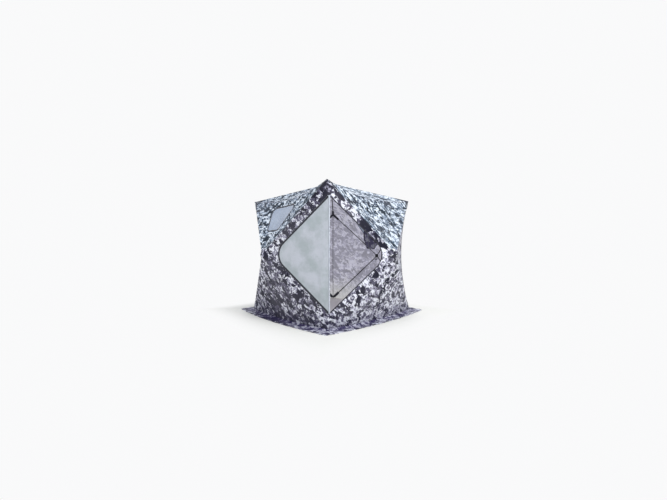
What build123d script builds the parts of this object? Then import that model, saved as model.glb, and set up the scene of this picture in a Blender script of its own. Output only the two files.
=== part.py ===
"""Ice fishing hut: a pop-up cloth cube held open by five spring hubs.

Each wall, and the roof, is a square of cloth whose hub stands out from its four corners, so four rods run
from the hub to the corners and four sloping panels of cloth lie between them. The free seams between
neighbouring squares draw in under the tension, and the hem on the ground swells out above a snow skirt.
The door is a three-sided flap on the corner between the front and the right wall. It turns about a welt
beside that corner and is shown laid back against the front wall. Sizes are in millimetres. The origin is at the middle
of the base on the ground, +Z is up, the front wall faces -Y and the right wall faces +X.
"""

from build123d import *
from itertools import pairwise
from math import atan2, cos, hypot, pi, sin
import os

# The cloth shell
base_side = 1800  # between the corners, on the ground and at the eaves
wall_height = 1780  # from the ground to the eaves corners
wall_rise = 355  # how far a wall's hub stands out from its four corners
roof_rise = 310  # how far the roof's hub stands above its four corners
seam_draw_depth = 85  # how far a free seam draws in, along each of its two walls
hem_swell_depth = 90  # how far the hem swells out half way along a wall
cloth = 3  # thickness of the shell
seam_chords = 6  # straight runs that make up a curved seam

# The snow skirt
skirt_width = 155
skirt_thickness = 3

# The frame
rod_radius = 4.75
socket_radius = 8
socket_length = 65  # from the point where the rods' axes meet
socket_floor = 30  # where a rod's end stands in its socket, from the same point
socket_fit = 0.1  # between a rod and the wall of its socket
socket_room = 1.5  # between a socket and a flat panel of cloth
seat_gap = 0.3  # between pieces that bear on each other

# The hubs
boss_radius = 34  # of the boss, which fills the hole in the cloth
boss_depth = 34  # from the point where the panels would meet to the hub's inner face
cap_radius = 58
cap_rim = 3.4
cap_crown_radius = 22
cap_crown = 2  # above the point where the panels would meet
loop_radius = 17  # of the pull loop that stands on the cap
loop_thickness = 2.5
loop_width = 20

# The windows
window_sill_rise = 335  # above the wall's hub
window_head_drop = 195  # below the eaves corners
window_head_width = 590
window_sill_width = 270
window_shift = -30  # to the right of the wall's middle
window_corner_radius = 65
film = 1  # thickness of the clear film
cover_lap = 28  # how far a closed window cover laps over the cloth
cover_thickness = 2

# The door
door_sill = 176  # from the ground, where the lower edge would meet the door corner
door_head_drop = 175  # below the eaves corner, in the same way
door_hub_distance = 116  # from the wall's hub to the point where the door's sloping edges would meet
door_nose_radius = 198
door_margin = 38  # cloth left between the door corner and the doorway
frame_tape_width = 14
frame_tape_thickness = 2
flap_thickness = 3
flap_hinge_distance = 20  # from the door corner, along the panel
flap_start = 3  # from the hinge to the flap's straight edge, along the panel
flap_gap = 5  # between the flap and the cloth that it lies on, open or shut
flap_tape_width = 26
welt_web = 2  # thickness of the web that carries the welt
flap_tape_lap = 4  # how far the shut flap passes the edge of the doorway

# The storm flap, rolled up and tied inside the upper edge of the doorway
roll_hub_distance = 250  # from the wall's hub to the roll's end, along the panel
roll_length = 215
roll_tip_length = 75  # of its end that slopes up to the doorway's edge
roll_bottom_rise = 58  # above the wall's hub
roll_thickness = 34
roll_edge_radius = 12
roll_corner_radius = 55
roll_hold = 22  # of cloth above the doorway that carries the roll

half = base_side / 2
middle_height = wall_height / 2
window_sill = middle_height + window_sill_rise
window_head = wall_height - window_head_drop
middle = Vector(0, 0, middle_height)
panel_reach = (half + wall_rise) * middle_height / hypot(wall_rise, middle_height)
rod_depth = cloth + socket_radius + socket_room
quarter_turns = {"front": 0, "right": 1, "back": 2, "left": 3}

# The door corner, in plan
panel_length = hypot(half, wall_rise)
door_reach = panel_length - door_hub_distance
door_head = wall_height - door_head_drop
door_slope = (door_head - door_sill) / 2 / door_reach
corner_turn = pi / 2 - 2 * atan2(wall_rise, half)  # between the two panels' outward faces
flap_middle = flap_gap + flap_thickness / 2  # of the flap's thickness, off either panel
hinge_out = (2 * flap_middle + flap_hinge_distance * sin(corner_turn)) / (1 + cos(corner_turn))
flap_shift = flap_hinge_distance * (1 + cos(corner_turn)) + hinge_out * sin(corner_turn)
welt_radius = hinge_out - flap_gap - flap_thickness - seat_gap


def wall_point(side, across, out, height):
    """A point of a wall: across to the right as seen from outside, and out from the hut's middle."""
    return Vector(across, -out, height).rotate(Axis.Z, 90 * quarter_turns[side])


def drawn_in(point, depth):
    """The same point of a smaller shell, whose panels lie that much deeper."""
    return middle + (point - middle) * (1 - depth / panel_reach)


def slab(outline, outer_depth=0, inner_depth=cloth):
    """The closed slab between two depths of the shell, over a flat outline."""
    outer = [drawn_in(point, outer_depth) for point in outline]
    inner = [drawn_in(point, inner_depth) for point in outline]
    faces = [Face(Wire.make_polygon(outer)), Face(Wire.make_polygon(inner))]
    for i in range(len(outline)):
        faces.append(Face(Wire.make_polygon([outer[i - 1], outer[i], inner[i], inner[i - 1]])))
    return Solid(Shell(faces))


def curved_seam(start, end, draw):
    """The points of a seam between two corners, drawn aside along a parabola."""
    shares = [i / seam_chords for i in range(seam_chords + 1)]
    return [start + (end - start) * t + draw * (4 * t * (1 - t)) for t in shares]


def hub_point(side):
    """Where the four panels of a wall, or of the roof, would meet."""
    if side == "roof":
        return Vector(0, 0, wall_height + roof_rise)
    return wall_point(side, 0, half + wall_rise, middle_height)


def hub_plane(side):
    """A plane at a hub, with +Z pointing out of the hut."""
    if side == "roof":
        return Plane(origin=hub_point(side))
    return Plane(
        origin=hub_point(side), x_dir=wall_point(side, 1, 0, 0), z_dir=wall_point(side, 0, 1, 0)
    )


def corner(side, across, up):
    """A corner of a wall: across is -1 or 1, and up is 0 on the ground or 1 at the eaves."""
    return wall_point(side, across * half, half, up * wall_height)


def frame_corners(side):
    """The four corners that a hub's rods run to."""
    if side == "roof":
        return [corner(wall, across, 1) for wall in ("front", "back") for across in (-1, 1)]
    return [corner(side, across, up) for across in (-1, 1) for up in (0, 1)]


def eaves_seam(side):
    """The seam between a wall and the roof, which draws in and down."""
    draw = wall_point(side, 0, -seam_draw_depth, -seam_draw_depth)
    return curved_seam(corner(side, -1, 1), corner(side, 1, 1), draw)


def upright_seam(side, across):
    """The seam on an upright corner of a wall. The door corner is straight, since the flap turns there."""
    ends = corner(side, across, 1), corner(side, across, 0)
    if (side, across) in (("front", 1), ("right", -1)):
        return list(ends)
    return curved_seam(*ends, wall_point(side, -across * seam_draw_depth, -seam_draw_depth, 0))


def hem(side):
    """The wall's lower edge, which swells out along the ground."""
    return curved_seam(corner(side, -1, 0), corner(side, 1, 0), wall_point(side, 0, hem_swell_depth, 0))


def panel_edges(side):
    """The panels of a wall, or of the roof, by name, with the seam along each one's outer edge."""
    if side == "roof":
        return {wall: eaves_seam(wall) for wall in quarter_turns}
    return {
        "top": eaves_seam(side),
        "bottom": hem(side),
        "left": upright_seam(side, -1),
        "right": upright_seam(side, 1),
    }


def window_block(side, margin=0):
    """The window's outline, run right through its wall."""
    plane = Plane(
        origin=wall_point(side, window_shift, half - seam_draw_depth, 0),
        x_dir=wall_point(side, 1, 0, 0),
        z_dir=wall_point(side, 0, 1, 0),
    )
    with BuildPart() as block:
        with BuildSketch(plane) as outline:
            Polygon(
                (-window_sill_width / 2, window_sill),
                (window_sill_width / 2, window_sill),
                (window_head_width / 2, window_head),
                (-window_head_width / 2, window_head),
                align=None,
            )
            fillet(outline.vertices(), window_corner_radius)
            if margin:
                offset(amount=margin, kind=Kind.ARC)
        extrude(amount=seam_draw_depth + wall_rise)
    return block.part


def door_outline(growth, start, hand=1):
    """The door's outline in its panel's plane, grown by an amount, from a distance off the corner."""
    reach = door_reach + growth * hypot(1, door_slope) / door_slope
    centre = (door_head + door_sill) / 2
    spread = door_slope * (reach - start)
    with BuildSketch() as outline:
        with BuildLine():
            FilletPolyline(
                (hand * start, centre - spread),
                (hand * reach, centre),
                (hand * start, centre + spread),
                radius=door_nose_radius + growth,
            )
            Line((hand * start, centre + spread), (hand * start, centre - spread))
        make_face()
    return outline.sketch


def door_panel_plane(side, depth=0):
    """The plane of the cloth beside the door corner, with +Y up and +Z out, at a depth below its face."""
    toward_hub = hub_point(side) - corner(side, -1 if side == "right" else 1, 0.5)
    x_dir = toward_hub if side == "right" else -toward_hub
    base = Plane(origin=corner("front", 1, 0), x_dir=x_dir, z_dir=x_dir.cross(Vector(0, 0, 1)))
    return base.offset(-depth)


def write(builder, name):
    """Labels a finished piece and writes it as one STEP file."""
    builder.part.label = name
    export_step(builder.part, f"parts/{name}.step")


def make_panel(side, name, edge):
    """One sloping panel of a wall or of the roof, cut round its hub and round its window."""
    with BuildPart() as panel:
        for start, end in pairwise(edge):
            add(slab([hub_point(side), start, end]))
        with BuildSketch(hub_plane(side).offset(-boss_depth)):
            Circle(boss_radius)
        extrude(amount=boss_depth, mode=Mode.SUBTRACT)
        if name == "top":
            add(window_block(side), mode=Mode.SUBTRACT)
        if (side, name) == ("right", "left"):
            with BuildSketch(door_panel_plane(side, 2 * cloth)):
                add(door_outline(frame_tape_width, door_margin))
            extrude(amount=3 * cloth, mode=Mode.SUBTRACT)
    return panel


def make_windows():
    """The clear film in the four walls, half way through the cloth."""
    film_top = (cloth - film) / 2
    with BuildPart() as windows:
        for side in quarter_turns:
            with BuildPart(mode=Mode.PRIVATE) as window:
                for start, end in pairwise(eaves_seam(side)):
                    add(slab([hub_point(side), start, end], film_top, film_top + film))
                add(window_block(side), mode=Mode.INTERSECT)
            add(window.part)
    return windows


def make_window_cover(side):
    """A cloth cover closed over a window from outside."""
    with BuildPart() as cover:
        for start, end in pairwise(eaves_seam(side)):
            add(slab([hub_point(side), start, end], -seat_gap - cover_thickness, -seat_gap))
        add(window_block(side, cover_lap), mode=Mode.INTERSECT)
    return cover


def make_skirt(side):
    """The strip of skirt along one wall, mitred at the corners and lying on the ground."""
    clearance = skirt_thickness * wall_rise / middle_height + seat_gap
    edges = []
    for reach in (clearance, skirt_width):
        widening = 1 + reach / half
        edges.append([Vector(p.X * widening, p.Y - reach) for p in hem("front")])
    with BuildPart() as skirt:
        with BuildSketch(Plane.XY.rotated((0, 0, 90 * quarter_turns[side]))):
            with BuildLine():
                Polyline(*edges[0], *reversed(edges[1]), close=True)
            make_face()
        extrude(amount=skirt_thickness)
    return skirt


def rod_axis(side, end_corner):
    """The plane at the start of a rod's axis, which +Z follows, and the axis's length to the corner."""
    start = drawn_in(hub_point(side), rod_depth)
    end = drawn_in(end_corner, rod_depth)
    return Plane(origin=start, z_dir=end - start), (end - start).length


def make_rods(side):
    """The four rods of one hub."""
    with BuildPart() as rods:
        for end_corner in frame_corners(side):
            axis, length = rod_axis(side, end_corner)
            with BuildSketch(axis.offset(socket_floor)):
                Circle(rod_radius)
            extrude(amount=length - 2 * socket_floor)
    return rods


def add_sockets(axes):
    """Adds a bored socket on each axis to the piece being built."""
    for axis in axes:
        with BuildSketch(axis) as barrel:
            Circle(socket_radius)
        extrude(barrel.sketch, amount=socket_length)
    for axis in axes:
        with BuildSketch(axis.offset(socket_floor)) as bore:
            Circle(rod_radius + socket_fit)
        extrude(bore.sketch, amount=socket_length, mode=Mode.SUBTRACT)


def make_hub(side):
    """A hub: a cap over the panels' tips, a boss through the cloth, and four sockets inside."""
    plane = hub_plane(side)
    rise, reach = (roof_rise, half) if side == "roof" else (wall_rise, middle_height)
    ridge_slope = rise / hypot(half, reach)
    with BuildPart() as hub:
        with BuildSketch(Plane(origin=plane.origin, x_dir=plane.x_dir, z_dir=-plane.y_dir)):
            with BuildLine():
                Polyline(
                    (0, cap_crown),
                    (cap_crown_radius, cap_crown),
                    (cap_radius, seat_gap + cap_rim - ridge_slope * cap_radius),
                    (cap_radius, seat_gap - ridge_slope * cap_radius),
                    (boss_radius, seat_gap - ridge_slope * boss_radius),
                    (boss_radius, -boss_depth),
                    (0, -boss_depth),
                    close=True,
                )
            make_face()
        revolve(axis=Axis(plane.origin, plane.z_dir))
        add_sockets([rod_axis(side, end_corner)[0] for end_corner in frame_corners(side)])
    return hub


def make_pull_loops():
    """The webbing loop on each hub's cap, by which the wall is pulled out."""
    with BuildPart() as loops:
        for side in (*quarter_turns, "roof"):
            base = hub_plane(side).offset(cap_crown)
            upright = Plane(origin=base.origin, x_dir=base.x_dir, z_dir=-base.y_dir)
            with BuildSketch(upright.offset(-loop_width / 2)):
                with BuildLine():
                    CenterArc((0, 0), loop_radius, 0, 180)
                    Line((-loop_radius, 0), (loop_thickness - loop_radius, 0))
                    CenterArc((0, 0), loop_radius - loop_thickness, 0, 180)
                    Line((loop_radius - loop_thickness, 0), (loop_radius, 0))
                make_face()
            extrude(amount=loop_width)
    return loops


def make_corner_fittings(up):
    """The fittings at the four corners of one level, each with a ball and a socket for every rod."""
    with BuildPart() as fittings:
        for wall, next_wall in (("front", "right"), ("right", "back"), ("back", "left"), ("left", "front")):
            here = corner(wall, 1, up)
            hubs = [wall, next_wall] + (["roof"] if up else [])
            meeting = drawn_in(here, rod_depth)
            with BuildPart(mode=Mode.PRIVATE) as fitting:
                with Locations(meeting):
                    Sphere(socket_radius)
                add_sockets(
                    [
                        Plane(origin=meeting, z_dir=drawn_in(hub_point(side), rod_depth) - meeting)
                        for side in hubs
                    ]
                )
            add(fitting.part)
    return fittings


def make_door_tape():
    """The zip tape that borders the doorway, set in the edge of the cloth."""
    with BuildPart() as tape:
        with BuildSketch(door_panel_plane("right", (cloth + frame_tape_thickness) / 2)):
            add(door_outline(frame_tape_width, door_margin))
            add(door_outline(0, door_margin), mode=Mode.SUBTRACT)
        extrude(amount=frame_tape_thickness)
    return tape


def make_door_welt():
    """The welt beside the door corner, about which the flap turns, and its web."""
    plane = door_panel_plane("right", -hinge_out)
    foot = plane.origin + plane.x_dir * flap_hinge_distance
    rise = door_slope * (door_reach - flap_hinge_distance)
    level = Plane(origin=foot, x_dir=plane.x_dir, z_dir=(0, 0, 1)).offset((door_head + door_sill) / 2 - rise)
    with BuildPart() as welt:
        with BuildSketch(level):
            Circle(welt_radius)
            with Locations((0, (hinge_out - seat_gap) / 2)):
                Rectangle(welt_web, hinge_out - seat_gap)
        extrude(amount=2 * rise)
    return welt


def make_door_flap(outer_growth, inner_growth=None):
    """A piece of the flap laid back on the front wall, between two growths of the door's outline."""
    start = flap_hinge_distance + flap_start
    panel = door_panel_plane("front", -flap_gap)
    face = Plane(origin=panel.origin + panel.x_dir * flap_shift, x_dir=panel.x_dir, z_dir=panel.z_dir)
    with BuildPart() as flap:
        with BuildSketch(face):
            add(door_outline(outer_growth, start, hand=-1))
            if inner_growth is not None:
                add(door_outline(inner_growth, start, hand=-1), mode=Mode.SUBTRACT)
        extrude(amount=flap_thickness)
    return flap


def make_door_roll():
    """The rolled storm flap, tied up inside the upper edge of the doorway and hanging below it."""
    end = panel_length - roll_hub_distance
    start = end - roll_length
    bottom = middle_height + roll_bottom_rise
    carrier = door_head + roll_hold  # of the cloth's edge, at the door corner
    face = door_panel_plane("right", cloth + seat_gap)
    with BuildPart() as roll:
        with BuildSketch(face) as outline:
            Polygon(
                (start, carrier - door_slope * start),
                (start, bottom),
                (end - roll_tip_length, bottom),
                (end, carrier - door_slope * end),
                align=None,
            )
            fillet(outline.vertices().group_by(Axis.Y)[0], roll_corner_radius)
        extrude(amount=-roll_thickness)
        fillet(roll.faces().sort_by(Axis(face.origin, face.z_dir))[0].edges(), roll_edge_radius)
    return roll


os.makedirs("parts", exist_ok=True)

for side in (*quarter_turns, "roof"):
    for name, edge in panel_edges(side).items():
        write(make_panel(side, name, edge), f"{side}_{'slope' if side == 'roof' else 'wall'}_{name}")
    write(make_rods(side), f"{side}_rods")
    write(make_hub(side), f"{side}_hub")

for side in quarter_turns:
    write(make_skirt(side), f"{side}_snow_skirt")

write(make_windows(), "windows")
write(make_window_cover("right"), "right_window_cover")
write(make_pull_loops(), "hub_pull_loops")
write(make_corner_fittings(1), "top_corner_fittings")
write(make_corner_fittings(0), "bottom_corner_fittings")
write(make_door_tape(), "doorway_zip_tape")
write(make_door_welt(), "door_corner_welt")
write(make_door_roll(), "rolled_storm_flap")
write(make_door_flap(flap_tape_lap - flap_tape_width), "door_flap")
write(make_door_flap(flap_tape_lap, flap_tape_lap - flap_tape_width), "door_flap_zip_tape")
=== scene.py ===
"""Dresses the ice fishing hut: camouflage cloth stretched over sprung rods, its door, windows and snow skirt.

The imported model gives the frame. Each cloth panel, film, tape and fold of the hut is made here as its own
piece in place of the plain solid, and the rods, hubs and fittings keep their shape and get their finish.
Lengths are in metres, +Z is up, the front wall faces -Y, and the door corner is at +X and -Y.
"""

import logging
import math
from collections.abc import Callable, Iterable, Iterator, Mapping, Sequence
from dataclasses import dataclass, field
from enum import Enum
from functools import partial

import bmesh
import bpy
from mathutils import Matrix, Vector, noise


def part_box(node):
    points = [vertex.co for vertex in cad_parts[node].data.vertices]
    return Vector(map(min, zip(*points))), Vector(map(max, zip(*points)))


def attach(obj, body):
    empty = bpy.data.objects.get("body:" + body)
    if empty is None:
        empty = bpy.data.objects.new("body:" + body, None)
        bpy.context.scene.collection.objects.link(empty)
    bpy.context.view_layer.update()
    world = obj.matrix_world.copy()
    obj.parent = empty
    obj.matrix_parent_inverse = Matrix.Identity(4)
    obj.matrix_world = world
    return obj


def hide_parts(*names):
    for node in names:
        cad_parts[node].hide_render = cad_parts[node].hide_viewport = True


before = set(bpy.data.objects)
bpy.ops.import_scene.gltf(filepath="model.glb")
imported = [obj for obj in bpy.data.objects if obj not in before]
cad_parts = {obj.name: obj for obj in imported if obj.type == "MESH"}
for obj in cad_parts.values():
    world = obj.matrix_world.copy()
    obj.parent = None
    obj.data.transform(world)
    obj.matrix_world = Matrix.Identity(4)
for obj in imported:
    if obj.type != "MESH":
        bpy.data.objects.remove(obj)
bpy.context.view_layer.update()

HUT = "hut"
DOOR = "door"
LOG = logging.getLogger("hut")
SEEN_RAYS = ("Is Camera Ray", "Is Glossy Ray", "Is Transmission Ray")
BACKDROP = (0.95, 0.952, 0.958)
STRIPES_A_UNIT = 20.0  # of a Wave Texture's scale
NO_LENGTH = 1e-6
NEAR = 1e-3  # between two shares whose difference gives a slope

Colour = tuple[float, float, float]
Spot = tuple[float, float]
Place = Callable[[float, float], Vector]


# Shader maths -------------------------------------------------------------------------------------


class Signal:
    """A socket of a material's node tree, on which Python's operators add Math nodes."""

    def __init__(self, bench: "Bench", socket: bpy.types.NodeSocket) -> None:
        """Wraps an output socket of the bench's tree."""
        self.bench = bench
        self.socket = socket

    def math(self, operation: str, *others: "Signal | float", first: bool = True) -> "Signal":
        """Adds a Math node.

        Args:
            operation: The Math node's operation.
            others: The other operands.
            first: Whether this signal is the first operand, or comes after the others.

        Returns:
            The node's value.
        """
        operands = (self, *others) if first else (*others, self)
        return self.bench.node("ShaderNodeMath", {"operation": operation}, dict(enumerate(operands)))

    def __add__(self, other: "Signal | float") -> "Signal":
        """Adds."""
        return self.math("ADD", other)

    __radd__ = __add__

    def __sub__(self, other: "Signal | float") -> "Signal":
        """Takes the other away."""
        return self.math("SUBTRACT", other)

    def __rsub__(self, other: float) -> "Signal":
        """Takes this away from a number."""
        return self.math("SUBTRACT", other, first=False)

    def __mul__(self, other: "Signal | float") -> "Signal":
        """Multiplies."""
        return self.math("MULTIPLY", other)

    __rmul__ = __mul__

    def between(self, low: float, high: float) -> "Signal":
        """Maps low to 0 and high to 1, smoothly, and holds both ends."""
        settings = {"interpolation_type": "SMOOTHSTEP"}
        return self.bench.node("ShaderNodeMapRange", settings, {0: self, 1: low, 2: high})


class Bench:
    """The bench on which the nodes of one material, or of the world, are put together."""

    def __init__(self, owner: bpy.types.Material | bpy.types.World) -> None:
        """Starts with the owner's node tree empty.

        Args:
            owner: The material or world whose nodes these are.
        """
        self.owner = owner
        owner.use_nodes = True
        self.tree = owner.node_tree
        self.tree.nodes.clear()

    @classmethod
    def material(cls, name: str) -> "Bench":
        """Starts a new material of that name."""
        return cls(bpy.data.materials.new(name))

    def node(
        self,
        kind: str,
        settings: Mapping[str, object] | None = None,
        inputs: Mapping[str | int, object] | None = None,
        output: str | int = 0,
    ) -> Signal:
        """Adds one node.

        Args:
            kind: The node's type.
            settings: Its own properties, which are set first. "stops" are a colour ramp's stops.
            inputs: Values or signals for its sockets, by name or number.
            output: The socket to hand back.

        Returns:
            The signal of that output.
        """
        node = self.tree.nodes.new(kind)
        for key, value in (settings or {}).items():
            setattr(node, key, value)
        for key, value in (inputs or {}).items():
            if isinstance(value, Signal):
                self.tree.links.new(value.socket, node.inputs[key])
            else:
                node.inputs[key].default_value = value
        return Signal(self, node.outputs[output])

    def object_coordinates(self) -> Signal:
        """The piece's own coordinates, in metres."""
        return self.node("ShaderNodeTexCoord", output="Object")

    def cloth_coordinates(self) -> Signal:
        """The piece's UV map, in metres along the cloth."""
        return self.node("ShaderNodeUVMap")

    def noise(self, place: Signal, scale: float, **details: float) -> Signal:
        """A noise of that many waves a metre, from 0 to 1.

        Args:
            place: Where it is read.
            scale: Its waves a metre.
            details: Its other sockets, in small letters.

        Returns:
            The noise.
        """
        inputs = {"Vector": place, "Scale": scale}
        inputs.update({key.capitalize(): value for key, value in details.items()})
        return self.node("ShaderNodeTexNoise", {"normalize": True}, inputs)

    def stretched(self, place: Signal, scale: Colour) -> Signal:
        """The place multiplied axis by axis."""
        return self.node("ShaderNodeMapping", None, {"Vector": place, "Scale": scale})

    def moved(self, place: Signal, shift: Colour) -> Signal:
        """The place moved."""
        return self.node("ShaderNodeMapping", None, {"Vector": place, "Location": shift})

    def drawn_out(self, place: Signal, way: Vector, factor: float) -> Signal:
        """A place on which a pattern is longer along one direction, by a factor.

        Args:
            place: The place.
            way: The direction.
            factor: How many times longer.

        Returns:
            The new place.
        """
        turn = tuple(way.to_track_quat("Z", "Y").to_euler())
        inputs = {"Vector": place, "Rotation": turn, "Scale": (1.0, 1.0, factor)}
        return self.node("ShaderNodeMapping", {"vector_type": "TEXTURE"}, inputs)

    def mix(self, share: Signal | float, base: Signal | Colour, other: Signal | Colour) -> Signal:
        """Mixes two colours by a share of the other.

        Args:
            share: The other's share.
            base: The first colour.
            other: The colour mixed in.

        Returns:
            The mixed colour.
        """
        inputs: dict[str | int, object] = {0: share}
        for key, value in ((6, base), (7, other)):
            inputs[key] = value if isinstance(value, Signal) else (*value, 1.0)
        return self.node("ShaderNodeMix", {"data_type": "RGBA"}, inputs, output=2)

    def axis(self, place: Signal, name: str) -> Signal:
        """One axis of a place."""
        return self.node("ShaderNodeSeparateXYZ", None, {0: place}, output=name)

    def stripes(self, place: Signal, way: str, count: float, **details: float) -> Signal:
        """Waves across one axis of a place, so many a metre.

        Args:
            place: Where they are read.
            way: The axis, X or Y.
            count: Waves a metre.
            details: Its other sockets, in small letters.

        Returns:
            The waves, from 0 to 1.
        """
        settings = {"wave_type": "BANDS", "bands_direction": way}
        inputs = {"Vector": place, "Scale": count / STRIPES_A_UNIT}
        inputs.update({key.capitalize(): value for key, value in details.items()})
        return self.node("ShaderNodeTexWave", settings, inputs, output="Fac")

    def bump(self, height: Signal, depth: float, under: Signal | None = None) -> Signal:
        """A normal bent by a height, whose unit is a depth in metres.

        Args:
            height: The height.
            depth: The height's unit.
            under: The normal of a coarser bump, if any.

        Returns:
            The normal.
        """
        inputs: dict[str | int, object] = {"Height": height, "Distance": depth, "Strength": 1.0}
        if under is not None:
            inputs["Normal"] = under
        return self.node("ShaderNodeBump", None, inputs)

    def principled(self, **inputs: object) -> Signal:
        """A Principled shader. Words in the inputs' names are joined by underscores."""
        named = {key.replace("_", " "): value for key, value in inputs.items()}
        return self.node("ShaderNodeBsdfPrincipled", None, named)

    def seen(self) -> Signal:
        """One for rays that a viewer follows, also by reflection or through glass, and zero for light."""
        camera, glossy, through = (self.node("ShaderNodeLightPath", output=name) for name in SEEN_RAYS)
        return camera.math("MAXIMUM", glossy).math("MAXIMUM", through)

    def backdrop(self, share: Signal | float, shader: Signal, kind: str) -> Signal:
        """Mixes a shader with the plain backdrop that a viewer sees, made by a node of that kind.

        Args:
            share: How much of the backdrop a viewer sees.
            shader: The shader.
            kind: The node's type.

        Returns:
            The mixed shader.
        """
        tone = {"Color": (*BACKDROP, 1.0), "Strength": 1.0}
        inputs = {0: self.seen() * share, 1: shader, 2: self.node(kind, None, tone)}
        return self.node("ShaderNodeMixShader", None, inputs)

    def finish(self, shader: Signal) -> bpy.types.Material | bpy.types.World:
        """Links the shader to the surface and hands the owner back.

        Args:
            shader: The finished shader.

        Returns:
            The material or the world.
        """
        kind = "World" if isinstance(self.owner, bpy.types.World) else "Material"
        output = self.tree.nodes.new(f"ShaderNodeOutput{kind}")
        self.tree.links.new(shader.socket, output.inputs["Surface"])
        return self.owner


# Finishes -----------------------------------------------------------------------------------------


def weave(bench: Bench, place: Signal, threads: float) -> Signal:
    """The height of a plain weave.

    Args:
        bench: The material's bench.
        place: Coordinates along the cloth.
        threads: Threads a metre.

    Returns:
        A height from about 0 to 1.
    """
    warp, weft = (bench.stripes(place, way, threads, distortion=0.6, detail=1.0) for way in "XY")
    return (warp + weft) * 0.5


@dataclass(frozen=True)
class Patch:
    """A round place on the hut where the print runs darker, or paler where its push is below zero. On the
    front wall this darkening is painted shade.
    """

    centre: Colour
    radius: float
    push: float


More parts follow.
